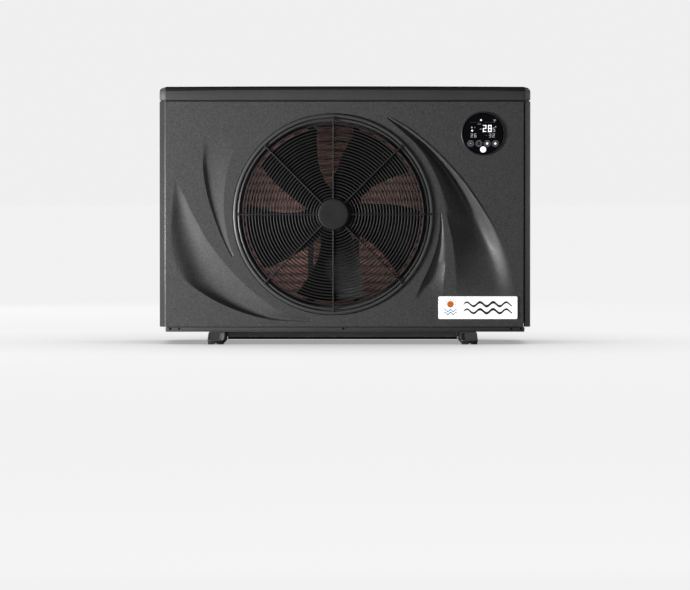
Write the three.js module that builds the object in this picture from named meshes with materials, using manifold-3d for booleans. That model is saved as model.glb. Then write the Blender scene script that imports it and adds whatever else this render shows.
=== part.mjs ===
// Pool heat pump: a free-standing side-discharge cabinet on two foot rails.
// Frame: millimetres, +Z up, the front (fan side) faces -Y, +X is to the right of a person in
// front. The origin is on the floor, under the middle of the whole unit's box.
// The left two thirds are the air side: axial fan, motor and an L-shaped finned coil. The right
// third is the machine side: compressor, titanium heat exchanger, pipework and electrics.
import * as THREE from "three";
import { mergeVertices } from "three/addons/utils/BufferGeometryUtils.js";
import Module from "manifold-3d";

const wasm = await Module();
wasm.setup();

// ---- Driving dimensions --------------------------------------------------------------------
const WIDTH = 960; // cabinet, left to right
const DEPTH = 360; // cabinet, front face to rear face
const HEIGHT = 668; // floor to the top of the lid
const CORNER = 16; // radius of the cabinet's vertical and upper edges
const WALL = 3; // moulded panels
const SHEET = 2; // folded steel
const GAP = 0.4; // between neighbouring pieces that touch

const HALF = WIDTH / 2;
const FRONT = -DEPTH / 2;
const REAR = DEPTH / 2;

const PAD_TOP = 9; // rubber pads under the foot rails
const BASE_BOTTOM = 32.5;
const PANEL_BOTTOM = 45;
const PANEL_TOP = 631.5; // seam between the panels and the header frame
const LID_SIDE = 656; // underside of the lid at its ends
const LID_MIDDLE = 659.5; // underside of the lid at its middle, so that the seam is arched
const FLOOR = BASE_BOTTOM + SHEET + GAP; // what stands inside the base pan stands here
const CEILING = 627; // tops of the inner parts

const FAN = { x: -30, z: 336.5, hole: 262.5, throat: 233, tip: 224, hub: 62, blades: 5 };
const GUARD = { rings: 25, first: 43.6, pitch: 7.9, wire: 1.6, spokes: 8, reach: 250.5, disc: 40, foot: -183 };
const DISPLAY = { x: 357, z: 545, glass: 53.5, bezel: 57, module: 42 };
const PLATE = { x: 344, z: 95, width: 204.5, height: 58.5 };
const FOOT = { left: -331.5, right: 319.5, width: 43, lean: 3, length: 370, tab: 17 };
const SEAM_X = 463; // the front panel ends here, and the right panel wraps the corner
const DIVIDER = 226; // left face of the partition between air side and machine side
const COIL = { thick: 40, rear: 170, right: 222, left: -460, legEnd: -90, bend: 60, low: 41, high: 622 };
const MOTOR = { front: -62, rear: 20, radius: 48 };
const COMPRESSOR = { x: 318, y: 72, radius: 58, low: 62, high: 300 };
const EXCHANGER = { x: 375, y: -62, radius: 69, low: 58, high: 440 };
const UNION = { x: 420, inlet: 140, outlet: 360, pipe: 25, bore: 20, end: 228, nutEnd: 240 };
const GAUGE = { x: 290, z: 560 };

const FRONT_REACH = FRONT - (FOOT.length - DEPTH) / 2 - FOOT.tab;
const ORIGIN_Y = (FRONT_REACH + UNION.nutEnd) / 2;

// ---- Materials -------------------------------------------------------------------------------
const finish = (color, roughness, metalness) =>
  new THREE.MeshStandardMaterial({ color, roughness, metalness });
const PANEL_GREY = finish(0x4b4b4b, 0.55, 0);
const LID_BLACK = finish(0x141414, 0.35, 0);
const GUARD_BLACK = finish(0x2a2a2a, 0.5, 0.2);
const FAN_BLACK = finish(0x262626, 0.5, 0);
const COPPER = finish(0xb87054, 0.35, 0.9);
const FIN_RED = finish(0x8a5c50, 0.5, 0.5);
const GALVANISED = finish(0x8d9092, 0.45, 0.8);
const RUBBER = finish(0x0c0c0c, 0.9, 0);
const GLASS_BLACK = finish(0x050507, 0.08, 0);
const WHITE = finish(0xf2f2f2, 0.35, 0);
const STEEL = finish(0xa5a5a8, 0.3, 1);
const ENAMEL = finish(0x101012, 0.4, 0.1);
const PVC = finish(0x23262a, 0.45, 0);
const BOARD_GREEN = finish(0x1d5a32, 0.6, 0);
const BRASS = finish(0xb08d45, 0.3, 0.9);

// ---- Solids ----------------------------------------------------------------------------------
function solidFrom(positions, index) {
  return new wasm.Manifold(
    new wasm.Mesh({ numProp: 3, vertProperties: positions, triVerts: new Uint32Array(index) }),
  );
}

// A closed three.js geometry as a solid, whichever way its faces were wound.
function solidOf(geometry) {
  const bare = geometry.clone();
  bare.deleteAttribute("normal");
  bare.deleteAttribute("uv");
  const merged = mergeVertices(bare, 1e-4);
  const from = merged.index.array;
  const index = [];
  for (let i = 0; i < from.length; i += 3) {
    const [a, b, c] = [from[i], from[i + 1], from[i + 2]];
    if (a !== b && b !== c && c !== a) index.push(a, b, c);
  }
  const positions = merged.attributes.position.array;
  const solid = solidFrom(positions, index);
  return solid.volume() < 0 ? solidFrom(positions, index.reverse()) : solid;
}

function geometryOf(solid) {
  const mesh = solid.getMesh();
  const geometry = new THREE.BufferGeometry();
  geometry.setAttribute("position", new THREE.BufferAttribute(mesh.vertProperties, 3));
  geometry.setIndex(new THREE.BufferAttribute(mesh.triVerts, 1));
  const flat = geometry.toNonIndexed();
  flat.computeVertexNormals();
  return flat;
}

const join = (first, ...rest) => rest.reduce((sum, solid) => sum.add(solid), first);
const cut = (first, ...rest) => rest.reduce((left, solid) => left.subtract(solid), first);

function block(x0, x1, y0, y1, z0, z1) {
  const geometry = new THREE.BoxGeometry(x1 - x0, y1 - y0, z1 - z0);
  return solidOf(geometry.translate((x0 + x1) / 2, (y0 + y1) / 2, (z0 + z1) / 2));
}

function shapeOf(points, holes = []) {
  const shape = new THREE.Shape(points.map(([x, y]) => new THREE.Vector2(x, y)));
  shape.holes = holes.map((hole) => new THREE.Path(hole.map(([x, y]) => new THREE.Vector2(x, y))));
  return shape;
}

function extruded(shape, depth) {
  return new THREE.ExtrudeGeometry(shape, { depth, bevelEnabled: false, curveSegments: 6 });
}

// A plan outline in X and Y, raised from z0 to z1.
const raised = (points, z0, z1) => solidOf(extruded(shapeOf(points), z1 - z0).translate(0, 0, z0));

// A front-view outline in X and Z, running from y0 back to y1.
const deepened = (points, y0, y1, holes) =>
  solidOf(extruded(shapeOf(points, holes), y1 - y0).rotateX(Math.PI / 2).translate(0, y1, 0));

// A closed profile of [radius, y] points turned about the Y axis.
function turned(profile, segments) {
  const points = [...profile, profile[0]].map(([radius, y]) => new THREE.Vector2(radius, y));
  return solidOf(new THREE.LatheGeometry(points, segments));
}

// A cylinder or ring along Y from y0 to y1.
function round(radius, y0, y1, segments, bore = 0) {
  return turned([[bore, y0], [radius, y0], [radius, y1], [bore, y1]], segments);
}

// The same pieces standing upright: the Y axis of the profile becomes Z.
const upright = (solid) => solid.rotate([90, 0, 0]);
const uprightRound = (radius, z0, z1, segments, bore = 0) =>
  upright(round(radius, z0, z1, segments, bore));

function arc(cx, cy, radius, from, to, steps) {
  return Array.from({ length: steps + 1 }, (_, i) => {
    const angle = THREE.MathUtils.degToRad(from + ((to - from) * i) / steps);
    return [cx + radius * Math.cos(angle), cy + radius * Math.sin(angle)];
  });
}

const polygon = (sides, radius) => arc(0, 0, radius, 0, 360 - 360 / sides, sides - 1);

function pipe(points, radius, steps, sides = 6) {
  const path = new THREE.CatmullRomCurve3(points.map((p) => new THREE.Vector3(...p)));
  const shape = shapeOf(polygon(sides, radius));
  return solidOf(new THREE.ExtrudeGeometry(shape, { steps, bevelEnabled: false, extrudePath: path }));
}

// The closed solid between two surfaces, each a function of (u, v) from 0 to 1.
function between(upper, lower, nu, nv) {
  const positions = [];
  const index = [];
  for (const at of [upper, lower])
    for (let i = 0; i <= nu; i++) for (let j = 0; j <= nv; j++) positions.push(...at(i / nu, j / nv));
  const row = nv + 1;
  const layer = (nu + 1) * row;
  const quad = (a, b, c, d) => index.push(a, b, c, a, c, d);
  for (let i = 0; i < nu; i++)
    for (let j = 0; j < nv; j++) {
      const a = i * row + j;
      quad(a, a + 1, a + row + 1, a + row);
      quad(layer + a, layer + a + row, layer + a + row + 1, layer + a + 1);
    }
  for (let i = 0; i < nu; i++) {
    const near = i * row;
    const far = near + nv;
    quad(near, near + row, layer + near + row, layer + near);
    quad(far + row, far, layer + far, layer + far + row);
  }
  for (let j = 0; j < nv; j++) {
    const far = nu * row + j;
    quad(j + 1, j, layer + j, layer + j + 1);
    quad(far, far + 1, layer + far + 1, layer + far);
  }
  const geometry = new THREE.BufferGeometry();
  geometry.setAttribute("position", new THREE.Float32BufferAttribute(positions, 3));
  geometry.setIndex(index);
  return solidOf(geometry);
}

// ---- The scene graph --------------------------------------------------------------------------
const unit = new THREE.Group();
const fan = new THREE.Group(); // its origin is on the fan's axis
unit.add(fan);
unit.position.y = -ORIGIN_Y;
fan.position.set(FAN.x, 0, FAN.z);

function place(name, solid, material, group = unit, position = [0, 0, 0]) {
  const mesh = new THREE.Mesh(geometryOf(solid), material);
  mesh.name = name;
  mesh.position.set(...position);
  group.add(mesh);
}

// ---- Sculpted front panel ---------------------------------------------------------------------
// Each scoop is a crescent pressed into the panel between a sharp edge and a crest, both given as
// [x, z] from the fan's axis. At each of the STATIONS along it, from its pointed tip to its faded
// end, it has a depth, and a valley: the share of its width, from the sharp edge, at which it is
// deepest. From melt onwards the sharp edge softens into a rolled one.
const STATIONS = [0, 0.15, 0.3, 0.45, 0.6, 0.75, 0.9, 1];
const SCOOPS = [
  {
    sharp: [[-264, -110.5], [-292.5, -51.5], [-321.5, 32], [-336.5, 110.5], [-340.5, 205]],
    crest: [[-258, -106.5], [-275.5, -50.5], [-282.5, 33], [-273.5, 110.5], [-247, 205]],
    depths: [0, 1.6, 2.6, 3.8, 5, 5.6, 2, 0],
    valleys: [0.36, 0.34, 0.3, 0.25, 0.22, 0.18, 0.2, 0.2],
    melt: 0.8,
  },
  {
    sharp: [[-54.5, -277.5], [-165, -272.5], [-265, -243], [-347.5, -199],
      [-402, -148.5], [-423, -73.5], [-419, 21], [-411, 88.5]],
    crest: [[-56.5, -269], [-133.5, -252], [-199, -207], [-261, -148.5],
      [-319.5, -75.5], [-361.5, -1], [-391, 59], [-407, 92.5]],
    depths: [0, 12, 18, 16, 12, 7, 1.2, 0],
    valleys: [0.2, 0.2, 0.22, 0.38, 0.54, 0.58, 0.6, 0.6],
    melt: 0.45,
  },
  {
    sharp: [[137.5, 254], [198.5, 218], [263, 164.5], [327.5, 95.5],
      [379.5, 24], [423.5, -48.5], [455, -129.5], [476, -226]],
    crest: [[139.5, 247], [179.5, 212.5], [219, 174.5], [253.5, 122],
      [279, 56.5], [295, -14], [311, -92.5], [320, -226]],
    depths: [0, 9, 19, 27, 30, 28, 15, 0],
    valleys: [0.52, 0.5, 0.48, 0.45, 0.42, 0.39, 0.35, 0.33],
    melt: -1,
  },
  {
    sharp: [[276, 3], [275, -38.5], [266, -86.5], [249, -134.5], [228, -179], [203, -226]],
    crest: [[281, 3], [286, -38.5], [290, -86.5], [289.5, -134.5], [285, -179], [280, -226]],
    depths: [0, 2.4, 4.8, 7.4, 8.5, 9.5, 2.8, 0],
    valleys: [0.34, 0.34, 0.3, 0.27, 0.22, 0.18, 0.2, 0.2],
    melt: 0.6,
  },
];

const smooth = THREE.MathUtils.smoothstep;

// The value at u of a property given at each station.
function stationed(values, u) {
  const i = Math.max(1, STATIONS.findIndex((station) => station >= u));
  const share = (u - STATIONS[i - 1]) / (STATIONS[i] - STATIONS[i - 1]);
  return values[i - 1] + (values[i] - values[i - 1]) * share;
}

function scoopDepth(scoop, u, v) {
  const depth = stationed(scoop.depths, u);
  const valley = stationed(scoop.valleys, u);
  if (v >= valley) return depth * (1 - ((v - valley) / (1 - valley)) ** 2);
  const crisp = 1 - (1 - v / valley) ** 2;
  const soft = smooth(v, 0, valley);
  const melt = smooth(u, scoop.melt, scoop.melt + 0.15);
  return depth * (crisp * (1 - melt) + soft * melt);
}

function scoopSolids(scoop) {
  const curveOf = (points) => new THREE.SplineCurve(points.map(([x, z]) => new THREE.Vector2(x, z)));
  const [sharp, crest] = [curveOf(scoop.sharp), curveOf(scoop.crest)];
  const at = (y) => (u, v) => {
    const point = sharp.getPoint(u).lerp(crest.getPoint(u), v);
    return [FAN.x + point.x, y(u, v), FAN.z + point.y];
  };
  const dish = (skin) => (u, v) => FRONT + scoopDepth(scoop, u, v) + skin;
  const [along, across] = [14, 6];
  return {
    cutter: between(at(() => FRONT - 4), at(dish(0)), along, across),
    backing: between(at(() => FRONT + WALL / 2), at(dish(WALL + GAP)), along, across),
  };
}

function frontPanel() {
  const inner = CORNER - WALL;
  const returnEnd = FRONT + 70;
  const outline = [
    [SEAM_X - 1, FRONT],
    [SEAM_X - 1, FRONT + 14],
    [SEAM_X - 1 - WALL, FRONT + 14],
    [SEAM_X - 1 - WALL, FRONT + WALL],
    ...arc(-HALF + CORNER, FRONT + CORNER, inner, 270, 180, 4),
    [-HALF + WALL, returnEnd],
    [-HALF, returnEnd],
    ...arc(-HALF + CORNER, FRONT + CORNER, CORNER, 180, 270, 4),
  ];
  let panel = raised(outline, PANEL_BOTTOM, PANEL_TOP);
  for (const { cutter, backing } of SCOOPS.map(scoopSolids)) panel = cut(join(panel, backing), cutter);
  const fanHole = round(FAN.hole, FRONT - 20, FRONT + 40, 48).translate([FAN.x, 0, FAN.z]);
  const displayHole = round(DISPLAY.module + 1, FRONT - 5, FRONT + 5, 24).translate([DISPLAY.x, 0, DISPLAY.z]);
  return cut(panel, fanHole, displayHole);
}

// ---- Cabinet ----------------------------------------------------------------------------------
const planOutline = (inset) => {
  const radius = Math.max(CORNER - inset, 1);
  const [x, y] = [HALF - CORNER, REAR - CORNER];
  return [
    ...arc(x, y, radius, 0, 90, 4),
    ...arc(-x, y, radius, 90, 180, 4),
    ...arc(-x, -y, radius, 180, 270, 4),
    ...arc(x, -y, radius, 270, 360, 4),
  ];
};

// The lid's arched lower edge in front view, lowered by drop.
function lidUnderside(drop) {
  const spans = 8;
  return Array.from({ length: spans + 1 }, (_, i) => {
    const share = (2 * i) / spans - 1;
    return [HALF * share, LID_MIDDLE - (LID_MIDDLE - LID_SIDE) * share ** 2 - drop];
  });
}

function topCover() {
  const rise = HEIGHT - LID_SIDE;
  const [side, base] = [HALF - rise, HEIGHT - rise];
  const rounded = [...arc(side, base, rise, 18, 90, 4), ...arc(-side, base, rise, 90, 162, 4)];
  const lid = deepened([...lidUnderside(0), ...rounded], FRONT, REAR);
  return lid.intersect(raised(planOutline(0), 640, 680));
}

function headerFrame() {
  const ring = cut(
    raised(planOutline(0), PANEL_TOP + GAP, HEIGHT),
    raised(planOutline(WALL), PANEL_TOP - 1, HEIGHT + 1),
  );
  const above = [...lidUnderside(GAP), [HALF + 9, LID_SIDE], [HALF + 9, 700], [-HALF - 9, 700], [-HALF - 9, LID_SIDE]];
  return cut(ring, deepened(above, FRONT - 1, REAR + 1));
}

function sidePanelOutline(side, from, to) {
  // A side wall that wraps the corners at from and to, when they are the cabinet's corners.
  const inner = CORNER - WALL;
  const corner = side * (HALF - CORNER);
  const rearOuter = arc(corner, REAR - CORNER, CORNER, side > 0 ? 0 : 180, 90, 4);
  const rearInner = arc(corner, REAR - CORNER, inner, 90, side > 0 ? 0 : 180, 4);
  const frontOuter = arc(corner, FRONT + CORNER, CORNER, 270, 360, 4);
  const frontInner = arc(corner, FRONT + CORNER, inner, 360, 270, 4);
  const start = from === FRONT ? [...frontOuter] : [[side * HALF, from]];
  const finish = from === FRONT ? [...frontInner] : [[side * (HALF - WALL), from]];
  return [...start, ...rearOuter, [to, REAR], [to, REAR - WALL], ...rearInner, ...finish];
}

const GRIP = { y0: -70, y1: 50, z0: 540, z1: 576, deep: 22 }; // hand recess in the right panel
const TERMINAL = { y0: 30, y1: 122, z0: 360, z1: 452 }; // wiring cover in the right panel

function rightSidePanel() {
  const panel = raised(sidePanelOutline(1, FRONT, SEAM_X), PANEL_BOTTOM, PANEL_TOP);
  const { y0, y1, z0, z1, deep } = GRIP;
  const cup = block(HALF - deep - WALL, HALF - 1, y0 - WALL, y1 + WALL, z0 - WALL, z1 + WALL);
  const pocket = block(HALF - deep, HALF + 5, y0, y1, z0, z1);
  const door = block(HALF - 10, HALF + 5, TERMINAL.y0, TERMINAL.y1, TERMINAL.z0, TERMINAL.z1);
  return cut(join(panel, cup), pocket, door);
}

function terminalCover() {
  const { y0, y1, z0, z1 } = TERMINAL;
  const plate = block(HALF - WALL, HALF, y0 + GAP, y1 - GAP, z0 + GAP, z1 - GAP);
  const lipX = HALF - WALL - GAP;
  const lip = block(lipX - 2, lipX, y0 - 8, y1 + 8, z0 - 8, z1 + 8);
  const core = block(lipX - 1, HALF - 1, y0 + 2, y1 - 2, z0 + 2, z1 - 2);
  return join(plate, lip, core);
}

const LOUVRES = { rows: 17, low: 86, pitch: 30.5, tall: 12, columns: 3, y0: -86, width: 66, post: 8 };

function leftSidePanel() {
  let panel = raised(sidePanelOutline(-1, FRONT + 70 + GAP, -445), PANEL_BOTTOM, PANEL_TOP);
  for (let i = 0; i < LOUVRES.rows; i++)
    for (let j = 0; j < LOUVRES.columns; j++) {
      const z = LOUVRES.low + i * LOUVRES.pitch;
      const y = LOUVRES.y0 + j * (LOUVRES.width + LOUVRES.post);
      panel = cut(panel, block(-HALF - 5, -HALF + 5, y, y + LOUVRES.width, z, z + LOUVRES.tall));
    }
  return panel;
}

function rearCoilGuard() {
  const [x0, x1, z0, z1, rim, bar] = [-443, 224, PANEL_BOTTOM, PANEL_TOP, 8, 3];
  const [y0, y1, columns, rows] = [REAR - 4, REAR - 1, 7, 10];
  const window = block(x0 + rim, x1 - rim, y0 - 1, y1 + 1, z0 + rim, z1 - rim);
  let guard = cut(block(x0, x1, y0, y1, z0, z1), window);
  for (let i = 1; i < columns; i++) {
    const x = x0 + rim + ((x1 - x0 - 2 * rim) * i) / columns;
    guard = join(guard, block(x - bar / 2, x + bar / 2, y0, y1, z0 + 1, z1 - 1));
  }
  for (let j = 1; j < rows; j++) {
    const z = z0 + rim + ((z1 - z0 - 2 * rim) * j) / rows;
    guard = join(guard, block(x0 + 1, x1 - 1, y0, y1, z - bar / 2, z + bar / 2));
  }
  return guard;
}

function rearServicePanel() {
  const panel = block(226, SEAM_X - 1, REAR - WALL, REAR, PANEL_BOTTOM, PANEL_TOP);
  const hole = (radius, x, z, sides) => round(radius, REAR - 9, REAR + 9, sides).translate([x, 0, z]);
  return cut(
    panel,
    hole(UNION.pipe + 2, UNION.x, UNION.inlet, 24),
    hole(UNION.pipe + 2, UNION.x, UNION.outlet, 24),
    hole(GAUGE_BODY + GAP, GAUGE.x, GAUGE.z, 24),
    hole(GLAND.shank + GAP, GLAND.x, GLAND.z, 12),
  );
}

// ---- Base, feet and pads ----------------------------------------------------------------------
const BASE_HALF = 465;
const BASE_TALL = PANEL_BOTTOM - GAP - BASE_BOTTOM;

function basePan() {
  const [y0, y1] = [FRONT + 2, REAR - 2];
  const tray = block(-BASE_HALF, BASE_HALF, y0, y1, BASE_BOTTOM, BASE_BOTTOM + BASE_TALL);
  const inside = [-BASE_HALF + SHEET, BASE_HALF - SHEET, y0 + SHEET, y1 - SHEET];
  const hollow = block(...inside, BASE_BOTTOM + SHEET, BASE_BOTTOM + BASE_TALL + 1);
  const drain = uprightRound(DRAIN.radius + GAP, 20, 50, 12).translate([DRAIN.x, DRAIN.y, 0]);
  return cut(tray, hollow, drain);
}

const DRAIN = { x: -120, y: 60, radius: 9, flange: 15, bore: 6, low: 26 };

function drainSpout() {
  const flange = uprightRound(DRAIN.flange, BASE_BOTTOM - 2.4, BASE_BOTTOM - GAP, 12, DRAIN.bore);
  return join(uprightRound(DRAIN.radius, DRAIN.low, BASE_BOTTOM + 1, 12, DRAIN.bore), flange);
}

const footCentre = (side) => (side > 0 ? FOOT.right : FOOT.left);

// The rails' section leans outwards towards the floor.
function footSection(side, inset, z0, z1) {
  const slope = (side * FOOT.lean) / (BASE_BOTTOM - PAD_TOP);
  const middle = (z) => footCentre(side) + (BASE_BOTTOM - z) * slope;
  const half = FOOT.width / 2 - inset;
  return [
    [middle(z0) - half, z0],
    [middle(z0) + half, z0],
    [middle(z1) + half, z1],
    [middle(z1) - half, z1],
  ];
}

function footRail(side) {
  const half = FOOT.length / 2;
  const [low, high] = [PAD_TOP + GAP, BASE_BOTTOM - GAP];
  const rail = deepened(footSection(side, 0, low, high), -half, half);
  const pocket = deepened(footSection(side, WALL, low - 5, high - WALL), -half + 60, half - 60);
  const tabEnd = half + FOOT.tab;
  const tab = deepened(footSection(side, 0, low, low + WALL), -tabEnd, tabEnd);
  const slotX = footCentre(side) + side * FOOT.lean;
  const slot = (y) => block(slotX - 9, slotX + 9, y - 4.5, y + 4.5, 0, 20);
  const slotY = half + FOOT.tab / 2;
  return cut(join(rail, cut(tab, pocket)), pocket, slot(slotY), slot(-slotY));
}

// A rubber strip with a groove along its middle, so that it stands on two lobes.
const PAD_LENGTH = 165;

function rubberPad(side) {
  const middle = footCentre(side) + side * FOOT.lean;
  const [half, groove] = [FOOT.width / 2 - 1, 3];
  const section = [
    [-half, PAD_TOP],
    [-half, 1],
    [-half + 1, 0],
    [-groove, 0],
    [-groove + 1, 2.5],
    [groove - 1, 2.5],
    [groove, 0],
    [half - 1, 0],
    [half, 1],
    [half, PAD_TOP],
  ].map(([x, z]) => [middle + x, z]);
  return deepened(section, 0, PAD_LENGTH);
}

// A channel across the rear, between the rails' inner faces.
function rearCrossbar() {
  const [low, high] = [2, BASE_BOTTOM - 1];
  const inner = FOOT.width / 2 + GAP;
  const [left, right] = [FOOT.left + inner, FOOT.right - inner];
  const web = block(left, right, 166, 168, low, high);
  const lowFlange = block(left, right, 166, 182, low, low + SHEET);
  const highFlange = block(left, right, 166, 182, high - SHEET, high);
  return join(web, lowFlange, highFlange);
}

// ---- Fan, guard and motor, about the fan's axis -------------------------------------------------
// The beaded ring around the throat. It fills the panel's hole and carries the guard.
function orificeRing() {
  return turned(
    [
      [261.3, -179], [258.5, -183.5], [253.5, -184.5], [249.1, -181], [248, -178],
      [245.5, -181], [241.5, -181.5], [237.8, -177], [234.4, -168], [FAN.throat, -158],
      [FAN.throat, -128], [FAN.throat + 3, -128], [FAN.throat + 3, -158], [240, -173],
      [268.5, -173.5], [268.5, -176.5], [261.3, -176.5],
    ],
    40,
  );
}

const guardDome = (radius) => -196 + 9 * (radius / 230) ** 2;

function guardRing(radius, thick, segments) {
  const y = guardDome(radius);
  return turned([[radius, y - thick], [radius + thick, y + thick], [radius - thick, y + thick]], segments);
}

function fanGuard() {
  const rings = Array.from({ length: GUARD.rings }, (_, i) => GUARD.first + i * GUARD.pitch);
  const wires = rings.map((radius) => guardRing(radius, GUARD.wire, 20));
  const spokes = Array.from({ length: GUARD.spokes }, (_, i) => {
    const half = 2;
    const y = (radius) => guardDome(radius) - GUARD.wire - 1.4;
    const [near, middle, far] = [GUARD.disc - 6, 140, GUARD.reach];
    const profile = [
      [near, y(near)],
      [middle, y(middle)],
      [far, y(far)],
      [far, GUARD.foot],
      [far - 6, GUARD.foot],
      [far - 6, y(far) + 3],
      [middle, y(middle) + 3],
      [near, y(near) + 3],
    ];
    // The profile lies in the plane of radius and Y, and is as wide as the wire.
    const wire = solidOf(extruded(shapeOf(profile), 2 * half).translate(0, 0, -half));
    return wire.rotate([0, (360 / GUARD.spokes) * i, 0]);
  });
  return join(wires[0], ...wires.slice(1), ...spokes);
}

function guardDisc() {
  const back = guardDome(GUARD.disc) - GUARD.wire - 1.4 - GAP;
  const [r, thick] = [GUARD.disc, 2.8];
  return turned([[0, back], [r, back], [r, back - thick + 1.5], [r - 2, back - thick], [0, back - thick]], 32);
}

// Blade outline, as [radius, leading angle, trailing angle] in degrees, anticlockwise from the
// front. The blades sweep forwards, clockwise, and their leading edges are at the back.
const BLADE = [[60, 20, 93], [97, 30, 88], [138, 31.5, 83], [184, 31, 78], [FAN.tip, 27, 74]];
const BLADE_FRONT = -156;
const BLADE_REAR = -74;

function bladeAngles(radius) {
  const next = Math.max(1, BLADE.findIndex(([r]) => r >= radius - 1e-6));
  const [a, b] = [BLADE[next - 1], BLADE[next]];
  const share = (radius - a[0]) / (b[0] - a[0]);
  return [a[1] + (b[1] - a[1]) * share, a[2] + (b[2] - a[2]) * share];
}

function fanBlade(turn) {
  const surface = (offset) => (u, v) => {
    const radius = 57 + (FAN.tip - 57) * u;
    const [leading, trailing] = bladeAngles(Math.max(radius, 60));
    const angle = THREE.MathUtils.degToRad(leading + (trailing - leading) * v + turn);
    const camber = 9 * Math.sin(Math.PI * v) * (0.5 + 0.5 * u);
    const y = BLADE_REAR + 6 + (BLADE_FRONT - BLADE_REAR) * v + camber + offset;
    return [radius * Math.cos(angle), y, radius * Math.sin(angle)];
  };
  return between(surface(-1.5), surface(1.5), 4, 5);
}

function fanImpeller() {
  const hub = turned(
    [
      [9, -148], [54, -148], [60, -145], [FAN.hub, -140], [FAN.hub, -80], [FAN.hub - 3, -80],
      [FAN.hub - 3, -140], [18, -140], [18, -112], [9, -112],
    ],
    24,
  );
  const blades = Array.from({ length: FAN.blades }, (_, i) => fanBlade((360 / FAN.blades) * i));
  const bore = round(FAN.hub - 3, -140, -70, 24).subtract(round(18, -141, -69, 24));
  return cut(join(hub, ...blades), bore);
}

function motorBracket() {
  const legs = [-60, 60].map((x) => {
    const channel = block(x - 7.5, x + 7.5, 26, 38, FLOOR - FAN.z, CEILING - FAN.z);
    return cut(channel, block(x - 5.5, x + 5.5, 28, 40, FLOOR - FAN.z - 1, CEILING - FAN.z + 1));
  });
  const plate = cut(block(-72, 72, 23.5, 26.5, -48, 48), round(16, 20, 30, 16));
  const foot = block(-90, 90, 26, 60, FLOOR - FAN.z, FLOOR - FAN.z + SHEET);
  const head = block(-90, 90, 26, 60, CEILING - FAN.z - SHEET, CEILING - FAN.z);
  return join(plate, ...legs, foot, head);
}

function placeFan() {
  const { front, rear, radius } = MOTOR;
  place("fan_orifice_ring", orificeRing(), PANEL_GREY, fan);
  place("fan_guard", fanGuard(), GUARD_BLACK, fan);
  place("guard_centre_disc", guardDisc(), GUARD_BLACK, fan);
  place("fan_impeller", fanImpeller(), FAN_BLACK, fan);
  place("fan_lock_nut", round(11, -158, -148.4, 6, 7.4), STEEL, fan);
  place("motor_shaft", round(6, -160, rear - 4, 16), STEEL, fan);
  const shell = [
    [11.5, front], [radius - 6, front], [radius, front + 6], [radius, rear - 6],
    [radius - WALL, rear - 6], [radius - WALL, front + 8], [radius - 8, front + 3],
    [22, front + 3], [22, front + 12], [17, front + 12], [17, front + 3], [11.5, front + 3],
  ];
  place("motor_housing", turned(shell, 24), ENAMEL, fan);
  const cap = [
    [0, rear], [radius, rear], [radius, rear - 5.6], [22, rear - 5.6], [22, rear - 13],
    [17, rear - 13], [17, rear - 3], [0, rear - 3],
  ];
  place("motor_end_cap", turned(cap, 24), ENAMEL, fan);
  place("motor_stator", round(radius - WALL - GAP, front + 18, rear - 20, 24, 30), COPPER, fan);
  place("motor_rotor", round(29, front + 16, rear - 18, 20, 6.4), STEEL, fan);
  place("motor_bearing_front", round(16.6, front + 3.4, front + 12, 16, 6.4), STEEL, fan);
  place("motor_bearing_rear", round(16.6, rear - 13, rear - 4, 16, 6.4), STEEL, fan);
  place("motor_bracket", motorBracket(), GALVANISED, fan);
}

// ---- Evaporator ---------------------------------------------------------------------------------
function evaporatorCoil() {
  const { thick, rear, right, left, legEnd, bend, low, high } = COIL;
  const [cx, cy] = [left + bend, rear - bend];
  const outline = [
    [right, rear - thick],
    [right, rear],
    ...arc(cx, cy, bend, 90, 180, 6),
    [left, legEnd],
    [left + thick, legEnd],
    ...arc(cx, cy, bend - thick, 180, 90, 6),
  ];
  return raised(outline, low, high);
}

function coilHeader() {
  const [x, y] = [246, 150];
  let header = uprightRound(9, 110, 470, 10).translate([x, y, 0]);
  for (let i = 0; i < 6; i++) {
    const stub = uprightRound(4, COIL.right + 3, x, 8).rotate([0, 90, 0]);
    header = join(header, stub.translate([0, y, 140 + i * 60]));
  }
  return header;
}

// ---- Machine side -------------------------------------------------------------------------------
function compressor() {
  const { x, y, radius, low, high } = COMPRESSOR;
  const profile = [
    [0, low + 6], [radius - 18, low + 6], [radius, low + 22], [radius, high - 24],
    [radius - 14, high - 6], [0, high],
  ];
  const shell = upright(turned(profile, 24));
  const plate = raised(arc(0, 0, radius + 22, 30, 270, 2), low, low + 4);
  const stub = uprightRound(9, high - 12, high + 8, 10).translate([18, 0, 0]);
  return join(shell, plate, uprightRound(30, low, low + 10, 16), stub).translate([x, y, 0]);
}

// The three feet of the compressor's plate, as [x, y].
const MOUNT_SPOTS = arc(COMPRESSOR.x, COMPRESSOR.y, COMPRESSOR.radius + 8, 30, 270, 2);

function compressorMount() {
  const high = COMPRESSOR.low - GAP;
  return upright(turned([[0, FLOOR], [12, FLOOR], [12, 46], [9, 50], [12, 54], [12, high], [0, high]], 12));
}

function accumulator() {
  const profile = [[0, 84], [14, 86], [22, 96], [22, 228], [14, 238], [0, 240]];
  return upright(turned(profile, 16)).translate([264, -18, 0]);
}

function heatExchanger() {
  const { x, y, radius, low, high } = EXCHANGER;
  const profile = [
    [0, low], [radius - 22, low], [radius, low + 24], [radius, high - 24], [radius - 22, high], [0, high],
  ];
  const port = (z) => round(UNION.pipe + 5, 0, -y + 24, 12).translate([UNION.x - x, 0, z]);
  const stand = uprightRound(radius - 14, FLOOR, low + 10, 20, radius - 20);
  const [inlet, outlet] = [port(UNION.inlet), port(UNION.outlet)];
  return join(upright(turned(profile, 24)), stand, inlet, outlet).translate([x, y, 0]);
}

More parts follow.
